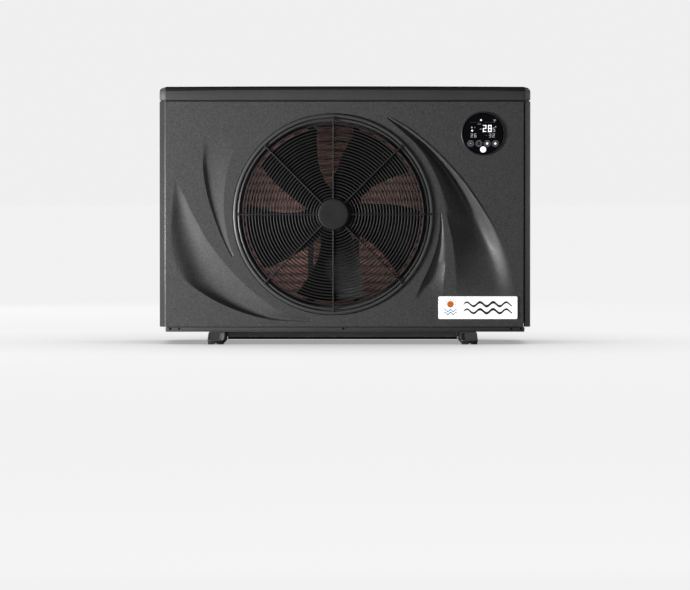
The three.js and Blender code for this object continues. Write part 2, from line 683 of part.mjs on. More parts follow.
// The tail of a union: a pipe with an end flange that holds the captive nut.
function unionTail() {
  const { pipe: outer, bore, end } = UNION;
  return turned(
    [
      [bore, 24.4], [outer, 24.4], [outer, REAR + 0.4], [36, REAR + 0.4], [36, REAR + 5],
      [outer, REAR + 5], [outer, end - 6], [outer + 5, end - 6], [outer + 5, end], [bore, end],
    ],
    16,
  );
}

function unionNut() {
  const { pipe: inner, end, nutEnd } = UNION;
  const [lipFront, lipRear] = [end - 17, end - 7];
  const ring = turned(
    [
      [inner + 1, lipFront], [38, lipFront], [40, lipFront + 2], [40, nutEnd - 2], [38, nutEnd],
      [inner + 6.5, nutEnd], [inner + 6.5, lipRear], [inner + 1, lipRear],
    ],
    16,
  );
  const grips = Array.from({ length: 6 }, (_, i) =>
    block(36, 44, lipFront + 2, nutEnd - 2, -4, 4).rotate([0, 60 * i, 0]),
  );
  return join(ring, ...grips);
}

function fourWayValve() {
  const body = round(14, -46, 46, 14).rotate([0, 0, 90]);
  const port = (x, z0, z1) => uprightRound(7, z0, z1, 10).translate([x, 0, 0]);
  return join(body, port(0, 0, 26), port(-26, -26, 0), port(0, -26, 0), port(26, -26, 0));
}

const VALVE = [312, 20, 410];

function expansionValve() {
  const body = uprightRound(9, -30, 4, 12);
  const coil = uprightRound(17, 4, 32, 14);
  return join(body, coil);
}

const EXPANSION = [258, -110, 240];

// The pipes leave their ports straight, and bend between them.
function placePipes() {
  const [vx, vy, vz] = VALVE;
  const [cx, cy, top] = [COMPRESSOR.x + 18, COMPRESSOR.y, COMPRESSOR.high + 8.5];
  const discharge = [[cx, cy, top], [cx, cy, top + 30], [cx - 4, cy - 6, 450], [vx + 6, vy + 12, 476]];
  const over = [[vx, vy, 466], [vx, vy, vz + 26.5]];
  place("discharge_pipe", pipe([...discharge, ...over], 5, 18), COPPER);
  const suction = [[vx, vy, vz - 26.5], [vx, vy, vz - 46], [290, 4, 320], [264, -18, 290]];
  place("suction_pipe", pipe([...suction, [264, -18, 264], [264, -18, 240.6]], 6, 16), COPPER);
  const [ex, ey, ez] = EXPANSION;
  const liquid = [[ex, ey, ez - 30.5], [ex, ey, ez - 50], [240, -90, 150], [235, -40, 100], [235, 70, 70]];
  place("liquid_pipe", pipe([...liquid, [246, 150, 78], [246, 150, 94], [246, 150, 109.4]], 4, 22), COPPER);
}

// ---- Electrics ------------------------------------------------------------------------------------
const ELECTRICS = { x0: 240, x1: 452, y0: -138, y1: 126, z0: 486, z1: 606 };

function electricalBox() {
  const { x0, x1, y0, y1, z0, z1 } = ELECTRICS;
  const outer = block(x0, x1, y0, y1, z0, z1);
  return cut(outer, block(x0 + SHEET, x1 - SHEET, y0 + SHEET, y1 - SHEET, z0 + SHEET, z1 + 1));
}

function controlBoard() {
  const { x0, x1, y0, y1, z0 } = ELECTRICS;
  const low = z0 + SHEET + GAP;
  const board = block(x0 + 12, x1 - 12, y0 + 14, y1 - 14, low + 8, low + 10);
  const stands = [x0 + 20, x1 - 20].flatMap((x) =>
    [y0 + 24, y1 - 24].map((y) => uprightRound(4, low, low + 9, 8).translate([x, y, 0])),
  );
  const capacitors = [0, 1, 2].map((i) => uprightRound(15, low + 9, low + 52, 12).translate([290 + 42 * i, 60, 0]));
  const module = block(300, 380, -100, -20, low + 9, low + 24);
  return join(board, ...stands, ...capacitors, module);
}

function displayGlass() {
  const { glass } = DISPLAY;
  return round(glass, FRONT - 3.2, FRONT - 0.6, 32);
}

function displayBezel() {
  const { glass, bezel } = DISPLAY;
  return turned(
    [
      [glass + GAP, FRONT - 3], [bezel - 0.8, FRONT - 3], [bezel, FRONT - 2],
      [bezel, FRONT - GAP], [glass + GAP, FRONT - GAP],
    ],
    32,
  );
}

const GLAND = { x: 290, z: 300, shank: 10 };

function cableGland() {
  const { shank } = GLAND;
  const body = round(shank, REAR - 14, REAR + 8, 12, 5);
  const hex = round(15, REAR + GAP, REAR + 6, 6, 5);
  const dome = turned([[5, REAR + 6], [13, REAR + 6], [13, REAR + 16], [8, REAR + 22], [5, REAR + 22]], 12);
  return join(body, hex, dome);
}

const GAUGE_BODY = 26;

function gaugeCase() {
  return turned(
    [
      [0, REAR - 28], [GAUGE_BODY, REAR - 28], [GAUGE_BODY, REAR + GAP], [30, REAR + GAP],
      [30, REAR + 5], [23.5, REAR + 5], [23.5, REAR - 8], [0, REAR - 8],
    ],
    28,
  );
}

function gaugeNeedle() {
  const [y0, y1] = [REAR - 5, REAR - 3.8];
  const pointer = deepened([[-1.6, -8], [1.6, -8], [0.5, 19], [-0.5, 19]], y0, y1);
  return join(pointer, round(3, REAR - 7.6, REAR - 2.6, 12));
}

// ---- Assembly ----------------------------------------------------------------------------------
function placeCabinet() {
  place("base_pan", basePan(), PANEL_GREY);
  place("front_panel", frontPanel(), PANEL_GREY);
  place("header_frame", headerFrame(), PANEL_GREY);
  place("top_cover", topCover(), LID_BLACK);
  place("left_side_panel", leftSidePanel(), PANEL_GREY);
  place("right_side_panel", rightSidePanel(), PANEL_GREY);
  place("terminal_cover", terminalCover(), PANEL_GREY);
  place("rear_coil_guard", rearCoilGuard(), GUARD_BLACK);
  place("rear_service_panel", rearServicePanel(), PANEL_GREY);
  const { x, z, width, height } = PLATE;
  const badge = block(-width / 2, width / 2, FRONT - 2.4, FRONT - GAP, -height / 2, height / 2);
  place("name_plate", badge, WHITE, unit, [x, 0, z]);
}

function placeFeet() {
  const padY = FOOT.length / 2 - PAD_LENGTH;
  for (const [word, side] of [["left", -1], ["right", 1]]) {
    place(`foot_rail_${word}`, footRail(side), PANEL_GREY);
    place(`rubber_pad_front_${word}`, rubberPad(side), RUBBER, unit, [0, -FOOT.length / 2, 0]);
    place(`rubber_pad_rear_${word}`, rubberPad(side), RUBBER, unit, [0, padY, 0]);
  }
  place("rear_crossbar", rearCrossbar(), GALVANISED);
  place("drain_spout", drainSpout(), PVC, unit, [DRAIN.x, DRAIN.y, 0]);
}

function placeEvaporator() {
  const { thick, rear, right, left, legEnd, low, high } = COIL;
  place("evaporator_coil", evaporatorCoil(), FIN_RED);
  const rightPlate = block(right + GAP, right + GAP + SHEET, rear - thick - 3, rear + 3, FLOOR, high);
  place("coil_end_plate_right", rightPlate, GALVANISED);
  const legPlate = block(left - 2, left + thick + 3, legEnd - GAP - SHEET, legEnd - GAP, FLOOR, high);
  place("coil_end_plate_left", legPlate, GALVANISED);
  place("coil_header", coilHeader(), COPPER);
  const edge = COIL.rear - COIL.thick - 4;
  place("partition_plate", block(DIVIDER, DIVIDER + SHEET, FRONT + 28, edge, FLOOR, CEILING), GALVANISED);
}

function placeMachineSide() {
  place("compressor", compressor(), ENAMEL);
  MOUNT_SPOTS.forEach(([x, y], i) => {
    place(`compressor_mount_${i + 1}`, compressorMount(), RUBBER, unit, [x, y, 0]);
  });
  place("accumulator", accumulator(), ENAMEL);
  place("heat_exchanger", heatExchanger(), PVC);
  for (const [word, z] of [["inlet", UNION.inlet], ["outlet", UNION.outlet]]) {
    place(`union_tail_${word}`, unionTail(), PVC, unit, [UNION.x, 0, z]);
    place(`union_nut_${word}`, unionNut(), PVC, unit, [UNION.x, 0, z]);
  }
  place("four_way_valve", fourWayValve(), BRASS, unit, VALVE);
  place("expansion_valve", expansionValve(), BRASS, unit, EXPANSION);
  placePipes();
}

function placeElectrics() {
  place("electrical_box", electricalBox(), GALVANISED);
  place("control_board", controlBoard(), BOARD_GREEN);
  place("display_bezel", displayBezel(), PANEL_GREY, unit, [DISPLAY.x, 0, DISPLAY.z]);
  place("display_glass", displayGlass(), GLASS_BLACK, unit, [DISPLAY.x, 0, DISPLAY.z]);
  const module = round(DISPLAY.module, FRONT + GAP, FRONT + 24, 24);
  place("display_module", module, ENAMEL, unit, [DISPLAY.x, 0, DISPLAY.z]);
  place("cable_gland", cableGland(), ENAMEL, unit, [GLAND.x, 0, GLAND.z]);
  const spot = [GAUGE.x, 0, GAUGE.z];
  place("gauge_case", gaugeCase(), ENAMEL, unit, spot);
  place("gauge_needle", gaugeNeedle(), finish(0xb02020, 0.4, 0), unit, spot);
  place("gauge_lens", round(23.1, REAR + 1, REAR + 3.4, 28), GLASS_BLACK, unit, spot);
}

placeCabinet();
placeFeet();
placeFan();
placeEvaporator();
placeMachineSide();
placeElectrics();

export default unit;
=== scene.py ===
"""Looks of a pool heat pump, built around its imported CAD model. Lengths are in metres."""

import math
import random

import bmesh
import bpy
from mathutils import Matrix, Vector
from mathutils.geometry import delaunay_2d_cdt


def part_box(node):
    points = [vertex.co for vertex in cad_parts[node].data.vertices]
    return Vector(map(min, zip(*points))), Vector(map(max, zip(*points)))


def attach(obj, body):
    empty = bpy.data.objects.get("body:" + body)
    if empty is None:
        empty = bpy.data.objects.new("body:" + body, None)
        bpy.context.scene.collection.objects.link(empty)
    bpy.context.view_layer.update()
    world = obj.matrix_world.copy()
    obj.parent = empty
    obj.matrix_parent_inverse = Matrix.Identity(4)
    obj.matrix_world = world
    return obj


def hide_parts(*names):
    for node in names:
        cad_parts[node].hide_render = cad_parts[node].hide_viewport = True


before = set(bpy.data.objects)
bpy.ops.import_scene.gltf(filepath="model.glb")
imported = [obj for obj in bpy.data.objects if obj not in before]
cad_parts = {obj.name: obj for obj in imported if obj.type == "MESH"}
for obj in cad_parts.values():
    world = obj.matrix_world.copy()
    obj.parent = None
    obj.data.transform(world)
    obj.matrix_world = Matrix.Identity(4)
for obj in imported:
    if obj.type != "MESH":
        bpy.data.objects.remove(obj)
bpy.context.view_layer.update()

TAU = 2 * math.pi
rng = random.Random(11)

# ---- Places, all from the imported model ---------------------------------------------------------
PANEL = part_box("front_panel")
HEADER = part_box("header_frame")
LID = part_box("top_cover")
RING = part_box("fan_orifice_ring")
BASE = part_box("base_pan")
FRONT = HEADER[0].y
REAR = HEADER[1].y
LEFT = HEADER[0].x
RIGHT = HEADER[1].x
TOP = LID[1].z
FAN = (RING[0] + RING[1]) / 2
CORNER = 0.016
WALL = 0.003


# ---- Small helpers -------------------------------------------------------------------------------
def smoothstep(a, b, x):
    t = min(1.0, max(0.0, (x - a) / (b - a)))
    return t * t * (3 - 2 * t)


def lerp(a, b, t):
    return a + (b - a) * t


def arc(cx, cy, radius, start, end, steps):
    """Points on a circle, with angles in degrees."""
    turns = (math.radians(lerp(start, end, i / steps)) for i in range(steps + 1))
    return [(cx + radius * math.cos(a), cy + radius * math.sin(a)) for a in turns]


def circle(cx, cy, radius, steps):
    return arc(cx, cy, radius, 0, 360, steps)[:-1]


def spline(points, t):
    """Uniform Catmull-Rom curve through the points, t from 0 to 1."""
    last = len(points) - 1
    place = min(max(t, 0.0), 1.0) * last
    i = min(int(place), last - 1)
    f = place - i
    a, b, c, d = (points[min(max(k, 0), last)] for k in (i - 1, i, i + 1, i + 2))
    return tuple(
        0.5 * (2 * q + (r - p) * f + (2 * p - 5 * q + 4 * r - s) * f * f + (3 * q - p - 3 * r + s) * f**3)
        for p, q, r, s in zip(a, b, c, d)
    )


# ---- Shapes ----------------------------------------------------------------------------------------
class Shape:
    """Vertices and faces of one piece, gathered from simpler closed surfaces."""

    def __init__(self):
        self.verts = []
        self.faces = []
        self.kinds = []

    def add(self, verts, faces, kind=0):
        start = len(self.verts)
        self.verts += [tuple(v) for v in verts]
        self.faces += [tuple(start + i for i in face) for face in faces]
        self.kinds += [kind] * len(faces)
        return self

    def rows(self, rows, wrap_rows=False, wrap_columns=False, kind=0):
        """A grid of quads over rows of points."""
        count = len(rows[0])
        faces = []
        for i in range(len(rows) - (0 if wrap_rows else 1)):
            near, far = i * count, (i + 1) % len(rows) * count
            for j in range(count - (0 if wrap_columns else 1)):
                k = (j + 1) % count
                faces.append((near + j, near + k, far + k, far + j))
        return self.add([p for row in rows for p in row], faces, kind)

    def loft(self, rows, kind=0):
        """A tube through closed rings of points, with a flat cap at each end."""
        self.rows(rows, wrap_columns=True, kind=kind)
        count = len(rows[0])
        start = len(self.verts) - count * len(rows)
        self.faces += [tuple(start + j for j in range(count))]
        self.faces += [tuple(start + count * (len(rows) - 1) + j for j in range(count))]
        self.kinds += [kind, kind]
        return self

    def turned(self, profile, centre, steps=64, axis="y", kind=0):
        """A closed profile of (radius, along) turned about an axis through centre."""
        rows = []
        for i in range(steps):
            c, s = math.cos(TAU * i / steps), math.sin(TAU * i / steps)
            if axis == "y":
                row = [(centre[0] + r * c, centre[1] + h, centre[2] + r * s) for r, h in profile]
            elif axis == "z":
                row = [(centre[0] + r * c, centre[1] + r * s, centre[2] + h) for r, h in profile]
            else:
                row = [(centre[0] + h, centre[1] + r * c, centre[2] + r * s) for r, h in profile]
            rows.append(row)
        return self.rows(rows, wrap_rows=True, wrap_columns=True, kind=kind)

    def tube(self, path, radius, sides=8, closed=False, kind=0):
        """A round wire along a path of points."""
        points = [Vector(p) for p in path]
        count = len(points)
        rows = []
        normal = None
        for i, point in enumerate(points):
            ahead = points[(i + 1) % count] if closed or i < count - 1 else point
            behind = points[i - 1] if closed or i > 0 else point
            along = (ahead - behind).normalized()
            if normal is None:
                normal = along.orthogonal().normalized()
            normal = (normal - along * normal.dot(along)).normalized()
            side = along.cross(normal)
            turns = [TAU * k / sides for k in range(sides)]
            rows.append([point + (normal * math.cos(a) + side * math.sin(a)) * radius for a in turns])
        if closed:
            return self.rows(rows, wrap_rows=True, wrap_columns=True, kind=kind)
        return self.loft(rows, kind)

    def block(self, low, high, bevel=0.0, kind=0):
        """A box whose edges along its longest side are rounded by bevel, and its ends too."""
        (x0, y0, z0), (x1, y1, z1) = low, high
        b = bevel
        if b <= 0:
            rings = [[(x0, z0), (x1, z0), (x1, z1), (x0, z1)]] * 2
            return self.loft([[(x, y, z) for x, z in ring] for ring, y in zip(rings, (y0, y1))], kind)
        rows = []
        for y, inset in ((y0, b), (y0 + 0.3 * b, 0.3 * b), (y0 + b, 0), (y1 - b, 0), (y1 - 0.3 * b, 0.3 * b), (y1, b)):
            radius = max(b - inset * 0.5, b * 0.4)
            outline = rounded(x0 + inset, z0 + inset, x1 - inset, z1 - inset, radius, 3)
            rows.append([(x, y, z) for x, z in outline])
        return self.loft(rows, kind)

    def plate(self, outline, y0, y1, bevel=0.0, kind=0):
        """A convex outline in X and Z made into a plate from y0 back to y1, with a bevelled front."""
        cx = sum(x for x, _ in outline) / len(outline)
        cz = sum(z for _, z in outline) / len(outline)
        reach = max(math.hypot(x - cx, z - cz) for x, z in outline)
        shrink = 1 - bevel / reach if bevel else 1
        inner = [(lerp(cx, x, shrink), lerp(cz, z, shrink)) for x, z in outline]
        rows = [[(x, y0, z) for x, z in inner]]
        if bevel:
            rows.append([(x, y0 + bevel, z) for x, z in outline])
        rows.append([(x, y1, z) for x, z in outline])
        return self.loft(rows, kind)

    def screw(self, x, y, z, radius=0.004, facing=-1, axis="y", kind=0):
        """A screw on a face: a domed head with a round recess in it."""
        profile = [(0.0004, 0.35), (0.3, 0.35), (0.34, 0.6), (0.7, 0.52), (1.0, 0.2), (1.0, -0.3), (0.0004, -0.3)]
        scaled = [(r * radius, facing * h * radius) for r, h in profile]
        return self.turned(scaled, (x, y, z), 14, axis, kind)

    def make(self, name, materials, body, slot, replaced=(), angle=35, outward=True):
        mesh = bpy.data.meshes.new(name)
        mesh.from_pydata(self.verts, [], self.faces)
        for material in materials:
            mesh.materials.append(material)
        mesh.polygons.foreach_set("material_index", self.kinds)
        if outward:
            work = bmesh.new()
            work.from_mesh(mesh)
            bmesh.ops.recalc_face_normals(work, faces=work.faces)
            work.to_mesh(mesh)
            work.free()
        mesh.polygons.foreach_set("use_smooth", [True] * len(mesh.polygons))
        mesh.set_sharp_from_angle(angle=math.radians(angle))
        return finish_piece(mesh, name, body, replaced)


def finish_piece(mesh, name, body, replaced):
    piece = bpy.data.objects.new(name, mesh)
    bpy.context.scene.collection.objects.link(piece)
    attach(piece, body)
    if replaced:
        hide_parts(*replaced)
    return piece


def rounded(x0, z0, x1, z1, radius, steps=4):
    """A rectangle with round corners, anticlockwise."""
    return (
        arc(x1 - radius, z0 + radius, radius, 270, 360, steps)
        + arc(x1 - radius, z1 - radius, radius, 0, 90, steps)
        + arc(x0 + radius, z1 - radius, radius, 90, 180, steps)
        + arc(x0 + radius, z0 + radius, radius, 180, 270, steps)
    )


# ---- Materials -------------------------------------------------------------------------------------
class Look:
    """A node material under construction, with coordinates that ride with the piece."""

    def __init__(self, name, roughness, metallic=0.0, **sockets):
        self.material = bpy.data.materials.new(name)
        self.material.use_nodes = True
        self.tree = self.material.node_tree
        self.shader = self.tree.nodes["Principled BSDF"]
        self.shader.inputs["Roughness"].default_value = roughness
        self.shader.inputs["Metallic"].default_value = metallic
        for socket, value in sockets.items():
            self.shader.inputs[socket.replace("_", " ")].default_value = value
        self.place = self.node("ShaderNodeTexCoord").outputs["Object"]
        self.height = None

    def node(self, kind, **values):
        made = self.tree.nodes.new(kind)
        for key, value in values.items():
            setattr(made, key, value)
        return made

    def link(self, source, target):
        self.tree.links.new(source, target)

    def noise(self, scale, detail=3.0, rough=0.55, stretch=None):
        texture = self.node("ShaderNodeTexNoise")
        texture.inputs["Scale"].default_value = scale
        texture.inputs["Detail"].default_value = detail
        texture.inputs["Roughness"].default_value = rough
        source = self.place
        if stretch:
            mapping = self.node("ShaderNodeMapping")
            mapping.inputs["Scale"].default_value = stretch
            self.link(source, mapping.inputs["Vector"])
            source = mapping.outputs["Vector"]
        self.link(source, texture.inputs["Vector"])
        return texture.outputs["Fac"]

    def ramp(self, source, stops):
        ramp = self.node("ShaderNodeValToRGB")
        elements = ramp.color_ramp.elements
        while len(elements) < len(stops):
            elements.new(0.5)
        for element, (place, colour) in zip(elements, stops):
            element.position = place
            element.color = (*colour, 1)
        self.link(source, ramp.inputs["Fac"])
        return ramp.outputs["Color"]

    def colour(self, source):
        self.link(source, self.shader.inputs["Base Color"])
        return self

    def mottled(self, colour, spread, scale):
        """Base colour that drifts by a share of itself over the surface."""
        low = tuple(c * (1 - spread) for c in colour)
        high = tuple(c * (1 + spread) for c in colour)
        return self.colour(self.ramp(self.noise(scale, 4.0), [(0.3, low), (0.7, high)]))

    def rough(self, low, high, scale, stretch=None):
        span = self.node("ShaderNodeMapRange")
        span.inputs["From Min"].default_value = 0.3
        span.inputs["From Max"].default_value = 0.7
        span.inputs["To Min"].default_value = low
        span.inputs["To Max"].default_value = high
        self.link(self.noise(scale, 3.0, 0.6, stretch), span.inputs["Value"])
        self.link(span.outputs["Result"], self.shader.inputs["Roughness"])
        return self

    def bump(self, source, distance, strength=1.0):
        bump = self.node("ShaderNodeBump")
        bump.inputs["Distance"].default_value = distance
        bump.inputs["Strength"].default_value = strength
        self.link(source, bump.inputs["Height"])
        if self.height:
            self.link(self.height, bump.inputs["Normal"])
        self.height = bump.outputs["Normal"]
        self.link(self.height, self.shader.inputs["Normal"])
        return self


def grained(name, colour, roughness, grain=900.0, depth=0.00012, spread=0.08, fleck=0.0, **sockets):
    """Moulded or powder-coated skin: a fine pebble, a little orange peel, and a drifting or flecked tone."""
    look = Look(name, roughness, **sockets)
    look.mottled(colour, fleck or spread, 330.0 if fleck else 9.0)
    look.rough(roughness - 0.05, roughness + 0.07, 40.0)
    look.bump(look.noise(grain, 2.0, 0.7), depth)
    look.bump(look.noise(grain / 7, 2.0), depth * 2.5, 0.5)
    return look.material


def metal(name, colour, roughness, stretch=(1, 1, 1), scale=300.0, depth=0.00003, metallic=1.0):
    """Drawn, rolled or machined metal, with its tone and gloss streaked along stretch."""
    look = Look(name, roughness, metallic).mottled(colour, 0.12, 25.0)
    look.rough(roughness - 0.08, roughness + 0.1, scale / 4, stretch)
    look.bump(look.noise(scale, 3.0, 0.6, stretch), depth)
    return look.material


def spangled(name, colour):
    """Galvanised sheet with its crystal spangle."""
    look = Look(name, 0.42, 0.9)
    cells = look.node("ShaderNodeTexVoronoi")
    cells.inputs["Scale"].default_value = 110.0
    look.link(look.place, cells.inputs["Vector"])
    grey = look.node("ShaderNodeSeparateColor")
    look.link(cells.outputs["Color"], grey.inputs["Color"])
    dark = tuple(c * 0.72 for c in colour)
    look.colour(look.ramp(grey.outputs["Red"], [(0.0, dark), (1.0, colour)]))
    look.rough(0.35, 0.55, 60.0)
    look.bump(look.noise(500.0), 0.00003)
    return look.material


PANEL_GREY = grained("panel_skin", (0.062, 0.062, 0.063), 0.47, depth=0.0002, fleck=0.42)
# A darker copy of the cabinet grey: painted shade for the left corner of the front panel and for the whole left side.
LEFT_SHADE_GREY = grained("left_painted_shade", (0.034, 0.034, 0.0345), 0.7, Specular_IOR_Level=0.1)
CABINET_GREY = grained("cabinet_coat", (0.060, 0.060, 0.061), 0.55, 1100.0, Specular_IOR_Level=0.25)
# Near black: painted shade for the gap behind the seams.
SEAM_SHADE_BLACK = grained("seam_shadow", (0.004, 0.004, 0.004), 0.7)
LID_BLACK = grained("lid_skin", (0.0028, 0.0028, 0.003), 0.5, depth=0.00008)
RING_GREY = grained("ring_skin", (0.062, 0.062, 0.063), 0.4, depth=0.00008)
GUARD_WIRE = grained("guard_coat", (0.022, 0.022, 0.023), 0.6, 1400.0, 0.00006, Specular_IOR_Level=0.3)
CAP_GREY = grained("guard_cap_skin", (0.0125, 0.0125, 0.0127), 0.55)
FAN_PLASTIC = grained("fan_plastic", (0.0045, 0.0045, 0.0047), 0.55, 700.0, 0.00006, Specular_IOR_Level=0.25)
RUBBER = grained("pad_rubber", (0.006, 0.006, 0.006), 0.85, 500.0, 0.0002)
# A light grey coat, made paler than the bar's own grey: partly its colour, partly painted light for a bar that sits in
# shade.
BAR_LIGHTENED_COAT = grained("bar_coat_painted_light", (0.52, 0.52, 0.525), 0.45, 1100.0)
FOOT_COAT = grained("foot_coat", (0.05, 0.05, 0.051), 0.45, 1100.0)
GALVANISED = spangled("galvanised_sheet", (0.42, 0.43, 0.44))
DARK_STEEL = grained("bracket_coat", (0.004, 0.004, 0.0042), 0.8, Specular_IOR_Level=0.1)
STEEL = metal("bright_steel", (0.5, 0.5, 0.51), 0.28, (1, 8, 1))
SCREW_STEEL = metal("screw_steel", (0.012, 0.012, 0.0125), 0.45)
COPPER = metal("copper_tube", (0.55, 0.22, 0.13), 0.3, (1, 1, 6))
BRASS = metal("machined_brass", (0.55, 0.38, 0.13), 0.3)
ENAMEL = grained("black_enamel", (0.012, 0.012, 0.013), 0.35, 300.0, 0.0001)
PIPE_GREY = grained("pipe_plastic", (0.035, 0.037, 0.04), 0.42, 800.0, 0.00008)
BOARD = grained("solder_mask", (0.012, 0.09, 0.03), 0.4, 1500.0, 0.00005, 0.25)
LAMINATION = metal("winding_stack", (0.3, 0.14, 0.08), 0.45, (1, 60, 1), 90.0, 0.0003)
NEEDLE_RED = grained("needle_paint", (0.45, 0.02, 0.015), 0.4)


# ---- Front panel -------------------------------------------------------------------------------------
# Scoops pressed into the panel, on the outlines of the CAD's scoops. Each runs from a pointed tip to a faded end,
# between a sharp edge and a crest, given as (x, z) in millimetres from the fan's axis. depths (in
# millimetres) and valleys (the share of the width at which it is deepest) go with the STATIONS
# along it. The wall under the sharp edge is rolled from melt onwards, and the one under the crest
# is rolled up to crease, and past it is as firm an edge as firm says.
STATIONS = (0, 0.15, 0.3, 0.45, 0.6, 0.75, 0.9, 1)
SCOOPS = [
    dict(
        sharp=[(-264, -110.5), (-292.5, -51.5), (-321.5, 32), (-336.5, 110.5), (-340.5, 205)],
        crest=[(-258, -106.5), (-275.5, -50.5), (-282.5, 33), (-273.5, 110.5), (-247, 205)],
        depths=(1.6, 1.6, 2.6, 3.8, 5, 5.6, 2, 0), valleys=(0.36, 0.34, 0.3, 0.25, 0.22, 0.18, 0.2, 0.2),
        melt=0.75, crease=-1, firm=0.5, ridge=0.0,
    ),
    dict(
        sharp=[(-54.5, -277.5), (-165, -272.5), (-265, -243), (-347.5, -199),
               (-402, -148.5), (-423, -73.5), (-419, 21), (-411, 88.5)],
        crest=[(-56.5, -269), (-133.5, -252), (-199, -207), (-261, -148.5),
               (-319.5, -75.5), (-361.5, -1), (-391, 59), (-407, 92.5)],
        depths=(4, 12, 18, 16, 12, 7, 1.2, 0), valleys=(0.2, 0.2, 0.22, 0.38, 0.54, 0.58, 0.6, 0.6),
        melt=0.45, crease=-1, firm=0.5, ridge=0.0,
    ),
    dict(
        sharp=[(137.5, 254), (198.5, 218), (263, 164.5), (327.5, 95.5),
               (379.5, 24), (423.5, -48.5), (455, -129.5), (476, -226)],
        crest=[(139.5, 247), (179.5, 212.5), (219, 174.5), (253.5, 122),
               (279, 56.5), (295, -14), (311, -92.5), (320, -226)],
        depths=(3, 9, 19, 27, 30, 28, 15, 0), valleys=(0.52, 0.5, 0.48, 0.45, 0.42, 0.39, 0.35, 0.33),
        melt=-1, crease=0.65, firm=1, ridge=0.0022,
    ),
    dict(
        sharp=[(276, 3), (275, -38.5), (266, -86.5), (249, -134.5), (228, -179), (203, -226)],
        crest=[(281, 3), (286, -38.5), (290, -86.5), (289.5, -134.5), (285, -179), (280, -226)],
        depths=(1, 2.2, 3.8, 6.2, 8.3, 9.5, 2.8, 0), valleys=(0.34, 0.34, 0.3, 0.27, 0.22, 0.18, 0.2, 0.2),
        melt=0.75, crease=0.5, firm=1, ridge=0.0,
    ),
]
FOOT_OF_RIDGE = 0.0045
ACROSS = 30
RIDGE_STEPS = 4


def stationed(values, u):
    """The value at share u along a scoop of something given at each station."""
    i = max(1, next(k for k, station in enumerate(STATIONS) if station >= u))
    share = (u - STATIONS[i - 1]) / (STATIONS[i] - STATIONS[i - 1])
    return spline([(value,) for value in values], (i - 1 + share) / (len(values) - 1))[0]


def scoop_depth(scoop, u, v):
    """Depth below the panel's face, at share u along the scoop and v across it."""
    depth = 0.001 * max(0.0, stationed(scoop["depths"], u))
    valley = stationed(scoop["valleys"], u)
    if v < valley:
        crisp = 1 - (1 - v / valley) ** 2
        soft = smoothstep(0, valley, v)
        return depth * lerp(crisp, soft, smoothstep(scoop["melt"], scoop["melt"] + 0.12, u))
    t = (v - valley) / (1 - valley)
    firm = scoop["firm"] * smoothstep(scoop["crease"], scoop["crease"] + 0.1, u)
    return depth * lerp(1 - smoothstep(0, 1, t), 1 - t * t, firm)


def scoop_rows(scoop, steps):
    """Rows of panel-face points, from the tip to the end, each across the scoop."""
    rows = []
    for i in range(steps + 1):
        u = (i / steps) ** 1.25
        edge = [Vector(spline(scoop[side], u)) * 0.001 for side in ("sharp", "crest")]
        outward = (edge[0] - edge[1]).normalized()
        row = []
        ridge = scoop["ridge"] * smoothstep(0, 0.08, u) * (1 - smoothstep(0.45, 0.8, u))
        if scoop["ridge"]:
            for j in range(RIDGE_STEPS):
                share = j / RIDGE_STEPS
                place = edge[0] + outward * FOOT_OF_RIDGE * (1 - share)
                row.append((place, -ridge * smoothstep(0, 1, share)))
        for j in range(ACROSS + 1):
            v = j / ACROSS
            fall = -ridge * max(0.0, 1 - v / 0.12)
            depth = 0.0 if i in (0, steps) else scoop_depth(scoop, u, v)
            row.append((edge[0].lerp(edge[1], v), depth + fall))
        if i in (0, steps):
            row = [(place, 0.0) for place, _ in row]
        rows.append([(FAN.x + place.x, FRONT + depth, FAN.z + place.y) for place, depth in row])
    return rows


def border(rows):
    """The outline of a grid of rows, as (x, z) points in order."""
    loop = [row[0] for row in rows] + rows[-1][1:-1]
    loop += [row[-1] for row in reversed(rows)] + list(reversed(rows[0][1:-1]))
    return [(x, z) for x, _, z in loop]


def inside(point, loop):
    x, z = point
    odd = False
    for (x0, z0), (x1, z1) in zip(loop, loop[1:] + loop[:1]):
        if (z0 > z) != (z1 > z) and x < (x1 - x0) * (z - z0) / (z1 - z0) + x0:
            odd = not odd
    return odd


def flat_with_holes(outline, holes):
    """Triangles of the flat region between an outline and its holes, as points and faces."""
    points, edges = [], []
    for loop in [outline, *holes]:
        start, count = len(points), len(loop)
        points += [Vector(p) for p in loop]
        edges += [(start + i, start + (i + 1) % count) for i in range(count)]
    found = delaunay_2d_cdt(points, edges, [], 0, 1e-7)
    verts, faces = found[0], found[2]
    kept = []
    for face in faces:
        middle = sum((verts[i] for i in face), Vector((0, 0))) / len(face)
        if inside(middle, outline) and not any(inside(middle, hole) for hole in holes):
            kept.append(face)
    return verts, kept


EDGE_ROLL = 0.0012  # rounding of the panel's long edges
DISPLAY = (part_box("display_glass")[0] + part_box("display_glass")[1]) / 2


def edge_sweep(shape, plan, z0, z1):
    """A wall over a plan of (x, y, nx, ny), with its lower and upper edges rolled inwards."""
    turns = [(1.0, 0.0), (0.3, 0.3), (0.0, 1.0)]
    levels = [(z0 + b * EDGE_ROLL, a * EDGE_ROLL) for a, b in turns]
    levels += [(z1 - b * EDGE_ROLL, a * EDGE_ROLL) for a, b in reversed(turns)]
    rows = [[(x - nx * d, y - ny * d, z) for z, d in levels] for x, y, nx, ny in plan]
    shape.rows(rows)
    return levels[2][0], levels[3][0]


def plan_arc(cx, cy, radius, start, end, steps):
    sign = 1 if radius > 0 else -1
    turns = (math.radians(lerp(start, end, i / steps)) for i in range(steps + 1))
    return [(cx + radius * math.cos(a), cy + radius * math.sin(a), sign * math.cos(a), sign * math.sin(a))
            for a in turns]


CHAMFER = plan_arc(0.008, 0.0165, 0.008, 180, 230, 6) + plan_arc(0.01741, 0.006, 0.006, 230, 270, 5)
CORNER_DEEP = 0.0165


